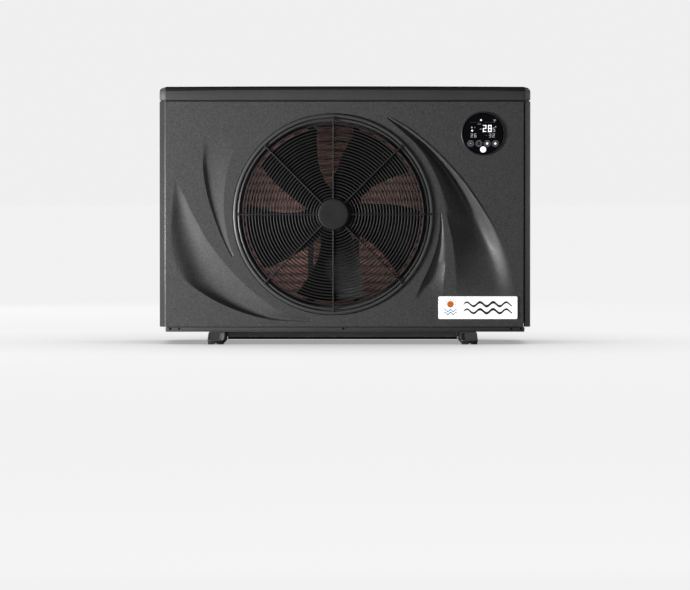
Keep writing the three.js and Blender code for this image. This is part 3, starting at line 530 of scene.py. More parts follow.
def front_corner(side):
    """The chamfered front corner in plan, from the left wall to the front or the front to the right wall."""
    corner = [(LEFT + x, FRONT + y, nx, ny) for x, y, nx, ny in CHAMFER]
    return corner if side < 0 else [(-x, y, -nx, ny) for x, y, nx, ny in reversed(corner)]


def front_panel():
    shape = Shape()
    z0, z1 = PANEL[0].z + 0.0004, PANEL[1].z - 0.0030
    left = [(LEFT, PANEL[1].y, -1, 0)] + front_corner(-1)
    x0, x1 = left[-1][0], PANEL[1].x - 0.0015
    low, high = edge_sweep(shape, left, z0, z1)
    right = plan_arc(x1, FRONT + 0.0015, 0.0015, 270, 360, 3) + [(PANEL[1].x, FRONT + 0.011, 1, 0)]
    edge_sweep(shape, right, z0, z1)
    # The rolled edges along the front, between the two ends.
    for level, sign in ((low, -1), (high, 1)):
        roll = [(0.0, 0.0), (0.7, 0.3), (1.0, 1.0)]
        rows = [[(x, FRONT + b * EDGE_ROLL, level + sign * a * EDGE_ROLL) for a, b in roll] for x in (x0, x1)]
        shape.rows(rows if sign > 0 else [row[::-1] for row in rows])
    patches = [scoop_rows(scoop, 110) for scoop in SCOOPS]
    for rows in patches:
        shape.rows(rows)
    smooth_faces = len(shape.faces)
    outline = [(x0, low), (x1, low), (x1, high), (x0, high)]
    holes = [border(rows) for rows in patches]
    holes.append(circle(FAN.x, FAN.z, 0.2620, 160))
    holes.append(circle(DISPLAY.x, DISPLAY.z, 0.0535, 72))
    flat, faces = flat_with_holes(outline, holes)
    shape.add([(p.x, FRONT, p.y) for p in flat], faces)
    mesh = bpy.data.meshes.new("front_panel_skin")
    mesh.from_pydata(shape.verts, [], shape.faces)
    mesh.materials.append(PANEL_GREY)
    mesh.materials.append(LEFT_SHADE_GREY)
    work = bmesh.new()
    work.from_mesh(mesh)
    work.faces.ensure_lookup_table()
    for i, face in enumerate(work.faces):
        face.smooth = i < smooth_faces
    bmesh.ops.remove_doubles(work, verts=work.verts, dist=2e-6)
    work.normal_update()
    for face in work.faces:
        middle = face.calc_center_median()
        # Faces near the left edge take the darker grey: painted shade on the panel's left corner.
        face.material_index = 1 if middle.x < LEFT + 0.0130 else 0
        toward = Vector((middle.x - max(middle.x, x0), middle.y - (FRONT + 0.06), 0))
        if middle.x > x1:
            toward = Vector((1, -1, 0))
        if face.normal.dot(toward) < 0:
            face.normal_flip()
    work.to_mesh(mesh)
    work.free()
    piece = finish_piece(mesh, "front_panel_skin", "cabinet", ["front_panel"])
    shell = piece.modifiers.new("thickness", "SOLIDIFY")
    shell.thickness = 0.0026
    shell.offset = -1


# ---- Header, lid and sides ---------------------------------------------------------------------------
def cabinet_plan():
    """The cabinet's outline as (x, y, nx, ny), anticlockwise from the right."""
    x, y = RIGHT - CORNER, REAR - CORNER
    rear = plan_arc(x, y, CORNER, 0, 90, 8) + plan_arc(-x, y, CORNER, 90, 180, 8)
    return rear + front_corner(-1) + front_corner(1)


def lid_seam(x):
    """Height of the arched seam between header and lid."""
    return lerp(0.6595, 0.6560, (x / RIGHT) ** 2)


def cabinet_ring(plan, inset, height):
    return [(x - nx * inset, y - ny * inset, height(x)) for x, y, nx, ny in plan]


def header():
    plan = []
    for a, b in zip(cabinet_plan(), cabinet_plan()[1:] + cabinet_plan()[:1]):
        spans = max(1, round(math.hypot(b[0] - a[0], b[1] - a[1]) / 0.06))
        plan += [tuple(lerp(p, q, k / spans) for p, q in zip(a, b)) for k in range(spans)]
    low = HEADER[0].z + 0.0004
    levels = [
        (0.0040, lambda x: low + 0.0020), (0.0014, lambda x: low), (0.0005, lambda x: low + 0.0004),
        (0.0, lambda x: low + 0.0013),
        (0.0, lambda x: lid_seam(x) - 0.0016), (0.0004, lambda x: lid_seam(x) - 0.0007),
        (0.0012, lambda x: lid_seam(x) - 0.0004), (0.0040, lambda x: lid_seam(x) - 0.0004),
    ]
    rings = [cabinet_ring(plan, inset, height) for inset, height in levels]
    Shape().rows(rings, wrap_rows=True, wrap_columns=True).make(
        "header_skin", [CABINET_GREY], "cabinet", "cabinet_grey", ["header_frame"])
    # A lip hangs behind the seam between the header and the panels, coloured near black as painted shade in the gap.
    lip = [(0.0030, low + 0.004), (0.0030, low - 0.009), (0.0050, low - 0.009), (0.0050, low + 0.004)]
    rings = [cabinet_ring(plan, inset, lambda x, z=z: z) for inset, z in lip]
    Shape().rows(rings, wrap_rows=True, wrap_columns=True).make(
        "header_shade_lip", [SEAM_SHADE_BLACK], "cabinet", "cabinet_grey")


def lid():
    """The lid: a dark moulding with a stepped edge and a slightly crowned top."""
    plan = []
    for a, b in zip(cabinet_plan(), cabinet_plan()[1:] + cabinet_plan()[:1]):
        spans = max(1, round(math.hypot(b[0] - a[0], b[1] - a[1]) / 0.04))
        plan += [tuple(lerp(p, q, k / spans) for p, q in zip(a, b)) for k in range(spans)]

    def crown(drop):
        """Height of the lid's top, which rolls down at its two ends."""
        def height(x):
            end = max(0.0, abs(x) - (RIGHT - 0.011)) / 0.011
            return TOP - drop - 0.0014 * (x / RIGHT) ** 2 - 0.0045 * end**2.5
        return height

    levels = [
        (0.0060, lambda x: lid_seam(x)), (0.0014, lambda x: lid_seam(x)),
        (0.0008, lambda x: lid_seam(x) + 0.0004), (0.0008, crown(0.0044)), (0.0010, crown(0.0040)),
        (0.0022, crown(0.0036)), (0.0034, crown(0.0024)), (0.0058, crown(0.0010)), (0.0090, crown(0.0003)),
    ]
    rings = [cabinet_ring(plan, inset, height) for inset, height in levels]
    # The middle of the top is flat.
    middle, half = (FRONT + REAR) / 2, (REAR - FRONT) / 2
    for inset in (0.030, 0.060):
        rings.append([(x * (1 - inset / RIGHT), middle + (y - middle) * (1 - inset / half), TOP - 0.0012)
                      for x, y, _, _ in plan])
    shape = Shape().rows(rings, wrap_columns=True)
    count = len(rings[-1])
    start = len(shape.verts) - count
    shape.faces.append(tuple(start + i for i in range(count)))
    shape.faces.append(tuple(start - count * (len(rings) - 1) + i for i in range(count))[::-1])
    shape.kinds += [0, 0]
    shape.make("lid_skin", [LID_BLACK], "cabinet", "lid_black", ["top_cover"], 30)


def wall_with_holes(shape, y0, y1, z0, z1, x, thick, holes, kind=0):
    """A flat wall in Y and Z at x, as thick as thick inwards, with closed rectangular holes."""
    flat, faces = flat_with_holes([(y0, z0), (y1, z0), (y1, z1), (y0, z1)], holes)
    for depth in (0.0, thick):
        shape.add([(x - depth, p.x, p.y) for p in flat], faces, kind)
    for loop in [[(y0, z0), (y1, z0), (y1, z1), (y0, z1)], *holes]:
        shape.rows([[(x - d, a, b) for a, b in loop] for d in (0.0, thick)], wrap_columns=True, kind=kind)


def side_shell(side, y_start, x_end, holes, extra_front):
    """A side panel: its flat wall, its rolled rear corner, and a rolled front corner if asked."""
    shape = Shape()
    z0, z1 = PANEL[0].z + 0.0004, PANEL[1].z - 0.0030
    rear = plan_arc(RIGHT - CORNER, REAR - CORNER, CORNER, 0, 90, 8) + [(x_end, REAR, 0, 1)]
    y_low = FRONT + CORNER_DEEP if extra_front else y_start
    sections = [rear]
    if extra_front:
        sections.append(extra_front)
    for plan in sections:
        rows = []
        for x, y, nx, ny in plan:
            ring = [(0.0012, z0), (0.0003, z0 + 0.0004), (0, z0 + 0.0013), (0, z1 - 0.0013), (0.0003, z1 - 0.0004),
                    (0.0012, z1), (WALL, z1), (WALL, z0)]
            rows.append([(side * (x - nx * d), y - ny * d, z) for d, z in ring])
        shape.loft(rows)
    wall_with_holes(shape, y_low, REAR - CORNER, z0, z1, side * RIGHT, side * WALL, holes)
    return shape


def right_side():
    start = PANEL[1].x + 0.0040
    corner = [point for point in front_corner(1) if point[0] > start + 0.0006]
    front = [(start - 0.0030, FRONT + 0.0095, 0, -1), (start, FRONT + 0.0090, 0, -1)]
    front += [(start + 0.0002, FRONT + 0.0022, 0, -1)] + corner
    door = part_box("terminal_cover")
    grip = dict(y0=-0.089, y1=0.031, z0=0.540, z1=0.576, deep=0.0215)
    door_hole = [(door[0].y + 0.0075, door[0].z + 0.0075), (door[1].y - 0.0075, door[0].z + 0.0075),
                 (door[1].y - 0.0075, door[1].z - 0.0075), (door[0].y + 0.0075, door[1].z - 0.0075)]
    grip_hole = rounded(grip["y0"], grip["z0"], grip["y1"], grip["z1"], 0.012, 6)
    shape = side_shell(1, None, PANEL[1].x + 0.0010, [door_hole, grip_hole], front)
    # The hand recess is a cup that narrows inwards.
    cy, cz = (grip["y0"] + grip["y1"]) / 2, (grip["z0"] + grip["z1"]) / 2
    levels = [(0.0, 1.0), (0.002, 0.985), (0.014, 0.96), (0.019, 0.92), (grip["deep"], 0.82)]
    inner = [[(RIGHT - d, lerp(cy, y, k), lerp(cz, z, k)) for y, z in grip_hole] for d, k in levels]
    outer = [[(RIGHT - max(d, WALL) - 0.0015, lerp(cy, y, k * 1.02), lerp(cz, z, k * 1.06)) for y, z in grip_hole]
             for d, k in reversed(levels[1:])]
    shape.loft(inner + outer)
    shape.make("right_side_skin", [CABINET_GREY], "cabinet", "cabinet_grey", ["right_side_panel"])
    cover = Shape()
    edge = rounded(door[0].y + 0.008, door[0].z + 0.008, door[1].y - 0.008, door[1].z - 0.008, 0.003, 4)
    cy, cz = (door[0].y + door[1].y) / 2, (door[0].z + door[1].z) / 2
    levels = [(WALL, 1.0), (0.0006, 1.0), (0.0, 0.985), (0.0, 0.9), (0.0012, 0.88), (0.0012, 0.5)]
    rows = [[(RIGHT - d, lerp(cy, y, k), lerp(cz, z, k)) for y, z in edge] for d, k in levels]
    cover.loft(rows)
    for y, z in ((edge[2][0] - 0.0, cz), (door[0].y + 0.014, cz)):
        cover.screw(RIGHT - 0.0024, min(y, door[1].y - 0.014), z, 0.0035, 1, "x")
    cover.make("terminal_door", [CABINET_GREY], "cabinet", "cabinet_grey", ["terminal_cover"])


def left_side():
    columns, width, post = 3, 0.066, 0.008
    y_first = -0.105
    holes = []
    blades = Shape()
    count, low, pitch, tall = 17, 0.086, 0.0305, 0.012
    for i in range(count):
        for j in range(columns):
            y, z = y_first + j * (width + post), low + i * pitch
            holes.append(rounded(y, z, y + width, z + tall, 0.0035, 3))
            # A hood over each slot, pressed outwards from its upper edge.
            steps = 8
            rows = []
            for k in range(steps + 1):
                across = y + 0.001 + (width - 0.002) * k / steps
                swell = 1 - abs(2 * k / steps - 1) ** 6
                rows.append([
                    (LEFT + 0.0029, across, z + tall - 0.0004), (LEFT + 0.0002, across, z + tall + 0.0012),
                    (LEFT + 0.0002 + 0.0004 * swell, across, z + tall - 0.0010),
                    (LEFT + 0.0032 + 0.0050 * swell, across, z + tall * 0.42),
                    (LEFT + 0.0040 + 0.0050 * swell, across, z + tall * 0.42),
                    (LEFT + 0.0038, across, z + tall - 0.0016),
                ])
            blades.loft(rows)
    shape = side_shell(-1, PANEL[1].y + 0.0006, 0.445, holes, None)
    # The left side and its louvres wear the darker grey: painted shade.
    shape.make("left_side_skin", [LEFT_SHADE_GREY], "cabinet", "cabinet_grey", ["left_side_panel"])
    blades.make("left_side_louvres", [LEFT_SHADE_GREY], "cabinet", "cabinet_grey")


# ---- Fan ring and guard --------------------------------------------------------------------------------
def fan_ring():
    profile = [
        (0.2605, 0.0060), (0.2597, -0.0010), (0.2587, -0.0030), (0.2565, -0.0042), (0.2540, -0.0046),
        (0.2520, -0.0040), (0.2510, -0.0024), (0.2506, 0.0), (0.2501, 0.0060), (0.2485, 0.0062), (0.2480, 0.0),
        (0.2473, -0.0018), (0.2455, -0.0028), (0.2433, -0.0024), (0.2415, -0.0004), (0.2397, 0.0034),
        (0.2380, 0.0075), (0.2362, 0.0120), (0.2345, 0.0180), (0.2334, 0.0240), (0.2330, 0.0310),
        (0.2330, 0.0510), (0.2346, 0.0520), (0.2360, 0.0510), (0.2362, 0.0320), (0.2385, 0.0190),
        (0.2410, 0.0105), (0.2485, 0.0085), (0.2625, 0.0085), (0.2680, 0.0062), (0.2683, 0.0034), (0.2645, 0.0034),
        (0.2625, 0.0060),
    ]
    Shape().turned(profile, (FAN.x, FRONT, FAN.z), 192).make(
        "fan_ring_fine", [RING_GREY], "cabinet", "panel_grey", ["fan_orifice_ring"])


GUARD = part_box("fan_guard")
WIRE_FIRST, WIRE_PITCH, WIRES, WIRE = 0.0436, 0.0079, 25, 0.0019


def guard_dome(radius):
    """How far the middle of a guard wire stands behind the front-most one, along Y."""
    return GUARD[0].y + 0.0048 + 0.009 * (radius / 0.23) ** 2


def fan_guard():
    shape = Shape()
    for i in range(WIRES):
        radius = WIRE_FIRST + i * WIRE_PITCH
        y = guard_dome(radius)
        profile = [(radius + WIRE * math.cos(a), y + WIRE * math.sin(a)) for a in (TAU * k / 8 for k in range(8))]
        shape.turned(profile, (FAN.x, 0, FAN.z), 120)
    for i in range(8):
        angle = TAU * i / 8
        out = Vector((math.cos(angle), 0, math.sin(angle)))
        centre = Vector((FAN.x, 0, FAN.z))
        path = []
        for radius in (0.030, 0.06, 0.10, 0.14, 0.18, 0.21, 0.2315, 0.2395):
            path.append(centre + out * radius + Vector((0, guard_dome(radius) - 0.0028, 0)))
        path.append(centre + out * 0.2435 + Vector((0, FRONT - 0.0062, 0)))
        path.append(centre + out * 0.2500 + Vector((0, FRONT - 0.0060, 0)))
        shape.tube(path, 0.0019, 8)
        # The foot is pressed flat where it lies on the ring's bead.
        across = Vector((-out.z, 0, out.x))
        rows = []
        for radius, half, lift in ((0.2445, 0.0018, 0.0050), (0.2465, 0.0034, 0.0056), (0.2510, 0.0036, 0.0058),
                                   (0.2530, 0.0026, 0.0056)):
            middle = centre + out * radius + Vector((0, FRONT - lift, 0))
            deep = Vector((0, 0.0009, 0))
            rows.append([middle - across * half - deep, middle + across * half - deep,
                         middle + across * half + deep, middle - across * half + deep])
        shape.loft(rows)
    shape.make("fan_guard_wires", [GUARD_WIRE], "cabinet", "guard_black", ["fan_guard"], 60)
    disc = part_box("guard_centre_disc")
    r, y0, y1 = (disc[1].x - disc[0].x) / 2, disc[0].y, disc[1].y
    profile = [(0.0005, y0 + 0.0007), (r * 0.5, y0 + 0.0005), (r * 0.86, y0), (r - 0.0025, y0 + 0.0002),
               (r - 0.0008, y0 + 0.0009), (r, y0 + 0.0022), (r, y1), (r - 0.002, y1), (0.0005, y1)]
    Shape().turned(profile, (FAN.x, 0, FAN.z), 96).make(
        "guard_cap", [CAP_GREY], "cabinet", "guard_black", ["guard_centre_disc"])


# ---- Fan -------------------------------------------------------------------------------------------------
BLADE_EDGES = [(60, 20, 93), (75, 27, 94), (86, 32, 91.2), (110, 34, 86.7), (127, 34.7, 84.5), (160, 33.1, 81),
               (202, 30.5, 76.7), (218, 29.6, 74.9), (226.5, 29, 74)]
TIP = BLADE_EDGES[-1][0]
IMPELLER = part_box("fan_impeller")


def blade_angles(radius):
    for (r0, a0, b0), (r1, a1, b1) in zip(BLADE_EDGES, BLADE_EDGES[1:]):
        if radius <= r1 or r1 == BLADE_EDGES[-1][0]:
            t = (radius - r0) / (r1 - r0)
            return lerp(a0, a1, t), lerp(b0, b1, t)


def blade_point(radius_mm, across, turn, lift):
    """A point on a blade's middle surface, moved by lift towards its pressure side."""
    lead, trail = blade_angles(max(radius_mm, 60))
    angle = math.radians(lerp(lead, trail, across) + turn)
    share = (radius_mm - 57) / (TIP - 57)
    camber = 0.009 * math.sin(math.pi * across) * (0.5 + 0.5 * share)
    y = lerp(IMPELLER[0].y + 0.0865, IMPELLER[0].y + 0.0045, across) + camber + lift
    r = radius_mm * 0.001
    return (FAN.x + r * math.cos(angle), y, FAN.z + r * math.sin(angle))


def fan():
    shape = Shape()
    along, across = 26, 18
    for k in range(5):
        turn = 72 * k
        rows = []
        for i in range(along + 1):
            radius = lerp(58, TIP, i / along)
            end = 1 - max(0.0, (radius - 218) / 6) ** 2 * 0.75
            ring = []
            for j in range(across + 1):
                v = j / across
                thick = 0.0021 * end * (0.35 + 0.65 * math.sin(math.pi * min(1, v * 0.8 + 0.08)) ** 0.7)
                rounding = math.sqrt(max(0.0, 1 - (2 * min(v, 1 - v, 0.03) / 0.03 / 2 - 1) ** 2 * 1.0))
                ring.append((v, thick * max(0.12, rounding if min(v, 1 - v) < 0.03 else 1)))
            front = [blade_point(radius, v, turn, -t) for v, t in ring]
            back = [blade_point(radius, v, turn, t) for v, t in reversed(ring)]
            rows.append(front + back)
        shape.loft(rows)
        # Stiffening ribs fan out over the root of each blade.
        for v in (0.22, 0.5, 0.78):
            path = [blade_point(lerp(58, 96, s / 6), v, turn, -0.0022 * (1 - s / 6)) for s in range(7)]
            shape.tube(path, 0.0016, 6)
    y0 = IMPELLER[0].y
    hub = [(0.0092, 0.0220), (0.0092, 0.0180), (0.0185, 0.0175), (0.0215, 0.0115), (0.0300, 0.0085), (0.0500, 0.0078),
           (0.0560, 0.0086), (0.0600, 0.0112), (0.0618, 0.0150), (0.0620, 0.0200), (0.0620, 0.0760), (0.0605, 0.0775),
           (0.0590, 0.0760), (0.0588, 0.0190), (0.0560, 0.0140), (0.0260, 0.0135), (0.0180, 0.0400), (0.0180, 0.0430),
           (0.0092, 0.0430)]
    shape.turned([(r, y0 + h) for r, h in hub], (FAN.x, 0, FAN.z), 96)
    for k in range(10):
        a = TAU * k / 10
        c, s = math.cos(a), math.sin(a)
        path = [(FAN.x + r * c, y0 + h, FAN.z + r * s) for r, h in ((0.023, 0.0105), (0.035, 0.0080), (0.052, 0.0075))]
        shape.tube(path, 0.0012, 6)
    shape.make("fan_blades", [FAN_PLASTIC], "fan", "fan_black", ["fan_impeller"], 40)
    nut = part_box("fan_lock_nut")
    shape = Shape()
    hexagon = [(FAN.x + 0.011 * math.cos(TAU * i / 6), FAN.z + 0.011 * math.sin(TAU * i / 6)) for i in range(6)]
    shape.plate(hexagon, nut[0].y, nut[1].y, 0.0012)
    shape.turned([(0.0004, nut[0].y - 0.0024), (0.0055, nut[0].y - 0.0020), (0.0062, nut[0].y - 0.0008),
                  (0.0062, nut[0].y + 0.0010), (0.0004, nut[0].y + 0.0010)], (FAN.x, 0, FAN.z), 24)
    shape.make("fan_nut", [STEEL], "fan", "steel", ["fan_lock_nut"], 25)


# ---- Evaporator ---------------------------------------------------------------------------------------------
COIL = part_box("evaporator_coil")
FIN_PITCH, TUBE_PITCH = 0.0021, 0.022
COIL_THICK, COIL_BEND = 0.040, 0.060


def coil_path():
    """Places along the coil's middle line from its right end, as (x, y, outward x, outward y, length)."""
    rear, left = COIL[1].y, COIL[0].x
    inner = COIL_BEND - COIL_THICK / 2
    cx, cy = left + COIL_BEND, rear - COIL_BEND
    straight = COIL[1].x - cx
    bend = inner * math.pi / 2
    leg = cy - COIL[0].y
    total = straight + bend + leg

    def at(s):
        if s <= straight:
            return COIL[1].x - s, rear - COIL_THICK / 2, 0.0, 1.0
        if s <= straight + bend:
            a = math.pi / 2 + (s - straight) / inner
            return cx + inner * math.cos(a), cy + inner * math.sin(a), math.cos(a), math.sin(a)
        return left + COIL_THICK / 2, cy - (s - straight - bend), -1.0, 0.0

    return at, total


def evaporator():
    at, total = coil_path()
    half = COIL_THICK / 2 - 0.0006
    z0, z1 = COIL[0].z + 0.001, COIL[1].z - 0.001
    fins = Shape()
    folds = 8
    for i in range(int(total / FIN_PITCH)):
        x, y, ox, oy = at((i + 0.5) * FIN_PITCH)
        tx, ty = -oy, ox
        lean = rng.uniform(-0.00018, 0.00018)
        sides = []
        for thick in (-0.00014, 0.00014):
            line = []
            for k in range(folds + 1):
                across = lerp(-half, half, k / folds)
                t = thick + lean * across / half + (0.0010 if k % 2 else -0.0010)
                line.append((x + ox * across + tx * t, y + oy * across + ty * t))
            sides.append(line)
        ring = sides[0] + sides[1][::-1]
        fins.rows([[(a, b, z) for a, b in ring] for z in (z0, z1)], wrap_columns=True)
    look = Look("fin_coating", 0.45, 0.35)
    # Painted shade: dark bands fall across the fins in front of each row of tubes.
    bands = look.node("ShaderNodeTexWave", bands_direction="Z")
    bands.inputs["Scale"].default_value = TAU / (20 * TUBE_PITCH)
    bands.inputs["Distortion"].default_value = 1.4
    bands.inputs["Detail Scale"].default_value = 6.0
    look.link(look.place, bands.inputs["Vector"])
    stops = [(0.0, (0.16, 0.085, 0.07)), (0.22, (0.48, 0.27, 0.22)), (1.0, (0.66, 0.38, 0.31))]
    look.colour(look.ramp(bands.outputs["Fac"], stops))
    look.rough(0.38, 0.55, 60.0)
    look.bump(look.noise(240.0, 2.0, 0.5, (1, 1, 6)), 0.0002)
    fins.make("evaporator_fins", [look.material], "cabinet", "fin_copper", ["evaporator_coil"])
    tubes = Shape()
    steps = 26
    rows_of_tubes = int((z1 - z0 - 0.012) / TUBE_PITCH) + 1
    for row, offset in enumerate((-0.0105, 0.0105)):
        for k in range(rows_of_tubes - row):
            z = z0 + 0.011 + k * TUBE_PITCH + row * TUBE_PITCH / 2
            path = []
            for i in range(steps + 1):
                x, y, ox, oy = at(lerp(0.0015, total - 0.0015, i / steps))
                path.append((x + ox * offset, y + oy * offset, z))
            tubes.tube(path, 0.0042, 8)
    tubes.make("evaporator_tubes", [COPPER], "cabinet", "copper")


# ---- Display -------------------------------------------------------------------------------------------------
SEGMENTS = {
    "0": "abcdef", "1": "bc", "2": "abged", "3": "abgcd", "4": "fgbc", "5": "afgcd", "6": "afgedc", "7": "abc",
    "8": "abcdefg", "9": "abcdfg",
}


def digit(shape, text, x, z, width, height, stroke, y, kind=0):
    """Seven-segment digits, from the lower left corner."""
    w, h, t = width, height, stroke
    bars = {
        "a": (0, h - t, w, h), "g": (0, (h - t) / 2, w, (h + t) / 2), "d": (0, 0, w, t),
        "f": (0, h / 2, t, h), "b": (w - t, h / 2, w, h), "e": (0, 0, t, h / 2), "c": (w - t, 0, w, h / 2),
    }
    for place, char in enumerate(text):
        left = x + place * (w + 2.2 * t)
        for name in SEGMENTS[char]:
            x0, z0, x1, z1 = bars[name]
            outline = rounded(left + x0, z + z0, left + x1, z + z1, t * 0.3, 2)
            shape.plate([(DISPLAY.x + a, DISPLAY.z + b) for a, b in outline], y, y + 0.0002, kind=kind)


def mark(shape, outline, y, kind=0):
    shape.plate([(DISPLAY.x + a, DISPLAY.z + b) for a, b in outline], y, y + 0.0002, kind=kind)


def display():
    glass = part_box("display_glass")
    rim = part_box("display_bezel")
    r = (glass[1].x - glass[0].x) / 2
    y0, y1 = glass[0].y, glass[1].y
    face = [(0.0005, y0), (r - 0.0024, y0), (r - 0.0022, y0), (r - 0.0009, y0 + 0.0003), (r - 0.0003, y0 + 0.0010),
            (r - 0.0002, y1), (0.0005, y1)]
    look = Look("display_glass_tint", 0.09, Specular_IOR_Level=0.02)
    look.colour(look.ramp(look.noise(30.0), [(0.3, (0.0012, 0.0009, 0.0018)), (0.7, (0.0018, 0.0013, 0.0026))]))
    look.rough(0.06, 0.12, 25.0)
    Shape().turned(face, (DISPLAY.x, 0, DISPLAY.z), 128).make(
        "display_face", [look.material], "cabinet", "display_black", ["display_glass"])
    ro = (rim[1].x - rim[0].x) / 2
    bezel = [(r + 0.0001, rim[0].y + 0.0008), (r + 0.0006, rim[0].y + 0.0001), (r + 0.0014, rim[0].y),
             (ro - 0.0006, rim[0].y + 0.0007), (ro, rim[0].y + 0.0017), (ro, rim[1].y), (r + 0.0001, rim[1].y)]
    coat = grained("bezel_skin", (0.022, 0.022, 0.024), 0.4, depth=0.00004)
    Shape().turned(bezel, (DISPLAY.x, 0, DISPLAY.z), 128).make(
        "display_rim", [coat], "cabinet", "panel_grey", ["display_bezel"])

    def glow(name, colour, strength):
        lit = Look(name, 0.4)
        lit.colour(lit.ramp(lit.noise(200.0), [(0.3, tuple(c * 0.9 for c in colour)), (0.7, colour)]))
        lit.shader.inputs["Emission Color"].default_value = (*colour, 1)
        lit.shader.inputs["Emission Strength"].default_value = strength
        return lit.material

    bright = glow("lit_white", (0.92, 0.93, 0.95), 0.75)
    mid = glow("lit_grey", (0.42, 0.42, 0.43), 0.3)
    dim = glow("lit_dim", (0.16, 0.14, 0.18), 0.12)
    faint = glow("lit_faint", (0.03, 0.03, 0.02), 0.05)
    marks = Shape()
    y = y0 - 0.0003
    digit(marks, "28", -0.0005, 0.0046, 0.0088, 0.0176, 0.0021, y, 0)
    digit(marks, "5", 0.0250, 0.0046, 0.0060, 0.0112, 0.0016, y, 1)
    digit(marks, "26", -0.0322, -0.0098, 0.0058, 0.0100, 0.0015, y, 1)
    digit(marks, "32", 0.0150, -0.0098, 0.0058, 0.0100, 0.0015, y, 1)
    for x, z, radius, kind in ((-0.0055, 0.035, 0.0024, 0), (0.0325, 0.0180, 0.0016, 1), (-0.0290, 0.0160, 0.0022, 1),
                               (-0.0215, 0.0158, 0.0018, 2), (-0.0283, 0.0078, 0.0024, 0)):
        mark(marks, circle(x, z, radius, 20), y, kind)
    for x, z, w, h, kind in ((-0.0065, 0.0118, 0.0046, 0.0014, 1), (-0.0098, 0.0250, 0.0092, 0.0028, 2),
                             (-0.0220, 0.0292, 0.0270, 0.0010, 3), (0.0160, 0.0292, 0.0240, 0.0010, 3),
                             (0.0080, -0.0040, 0.0040, 0.0012, 2)):
        mark(marks, rounded(x - w / 2, z - h / 2, x + w / 2, z + h / 2, h * 0.4, 3), y, kind)
    # Signal strength: a dot under two arcs.
    mark(marks, circle(0.0295, 0.0312, 0.0011, 12), y, 1)
    for radius in (0.0030, 0.0052):
        outer = arc(0.0295, 0.0312, radius + 0.0005, 45, 135, 8)
        inner = arc(0.0295, 0.0312, radius - 0.0005, 135, 45, 8)
        rows = [[(DISPLAY.x + x, depth, DISPLAY.z + z) for (x, z) in pair for depth in (y, y + 0.0002)][:4]
                for pair in zip(outer, reversed(inner))]
        marks.loft([[a, b, d, c] for a, b, c, d in rows], 1)
    # Five touch keys: four rings in a row, and a round key below them.
    for i, x in enumerate((-0.0325, -0.0109, 0.0104, 0.0315)):
        centre = (DISPLAY.x + x, y, DISPLAY.z - 0.0255)
        marks.turned([(0.0072, 0), (0.0086, 0), (0.0086, 0.0002), (0.0072, 0.0002)], centre, 40, kind=2)
        marks.turned([(0.0044, 0), (0.0060, 0), (0.0060, 0.0002), (0.0044, 0.0002)], centre, 40, kind=2)
        mark(marks, circle(x, -0.0255, 0.0029 if i > 1 else 0.0020, 20), y, 0 if i > 1 else (1 if i == 0 else 3))
    mark(marks, circle(0, -0.0408, 0.0078, 40), y, 0)
    power = Shape()
    opening = [(DISPLAY.x + a, y - 0.0002, DISPLAY.z - 0.0408 + b) for a, b in arc(0, 0, 0.0034, 125, 415, 24)]
    power.tube(opening, 0.0003, 6)
    power.tube([(DISPLAY.x, y - 0.0002, DISPLAY.z - 0.0408 + b) for b in (0.0012, 0.0042)], 0.0003, 6)
    power.make("display_power_mark", [mid], "cabinet", "panel_grey")
    marks.make("display_marks", [bright, mid, dim, faint], "cabinet", "badge_white")


# ---- Name plate ----------------------------------------------------------------------------------------------
def name_plate():
    """A plain white plate with a small sun over water, and nothing written on it."""
    low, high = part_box("name_plate")
    shape = Shape()
    outline = rounded(low.x, low.z, high.x, high.z, 0.0035, 5)
    shape.plate(outline, low.y, high.y, 0.0006)
    # The plate glows a little though it is no lamp: painted light.
    look = Look("plate_white_painted_glow", 0.3, Coat_Weight=0.3, Emission_Strength=0.6)
    look.shader.inputs["Emission Color"].default_value = (1, 1, 1, 1)
    look.colour(look.ramp(look.noise(60.0), [(0.3, (0.86, 0.86, 0.87)), (0.7, (0.93, 0.93, 0.94))]))
    look.rough(0.25, 0.35, 40.0)
    shape.make("badge_plate", [look.material], "cabinet", "badge_white", ["name_plate"])

    def print_colour(name, colour):
        ink = Look(name, 0.35).mottled(colour, 0.06, 80.0)
        ink.bump(ink.noise(900.0), 0.00002)
        return ink.material

    y = low.y - 0.00025
    cx, cz = low.x + 0.031, (low.z + high.z) / 2
    art = Shape()
    art.plate(circle(cx, cz + 0.009, 0.0085, 40), y, y + 0.0003, kind=0)
    for i in range(7):
        a = math.radians(180 * i / 6)
        c, s = math.cos(a), math.sin(a)
        ray = [(0.0108, -0.0009), (0.0150, -0.0006), (0.0150, 0.0006), (0.0108, 0.0009)]
        art.plate([(cx + r * c - w * s, cz + 0.009 + r * s + w * c) for r, w in ray], y, y + 0.0003, kind=0)

    def wave(x0, x1, z, width, kind, swell=0.0026, length=0.014):
        steps = 60
        rows = []
        for i in range(steps + 1):
            x = lerp(x0, x1, i / steps)
            mid_z = z + swell * math.sin(TAU * (x - x0) / length)
            w = width * (0.35 + 0.65 * math.sin(math.pi * i / steps) ** 0.5)
            rows.append([(x, y, mid_z - w), (x, y, mid_z + w), (x, y + 0.0003, mid_z + w), (x, y + 0.0003, mid_z - w)])
        art.loft(rows, kind)

    wave(cx - 0.0175, cx + 0.0175, cz - 0.0075, 0.0014, 1)
    wave(cx - 0.0175, cx + 0.0175, cz - 0.0150, 0.0014, 1)
    # Two broad waves take the room of the lettering.
    wave(cx + 0.034, high.x - 0.014, cz + 0.009, 0.0034, 2, 0.0052, 0.034)
    wave(cx + 0.034, high.x - 0.014, cz - 0.009, 0.0034, 2, 0.0052, 0.034)
    inks = [print_colour("ink_orange", (0.85, 0.22, 0.02)), print_colour("ink_blue", (0.02, 0.30, 0.62)),
            print_colour("ink_black", (0.008, 0.008, 0.008))]
    art.make("badge_picture", inks, "cabinet", "badge_white")


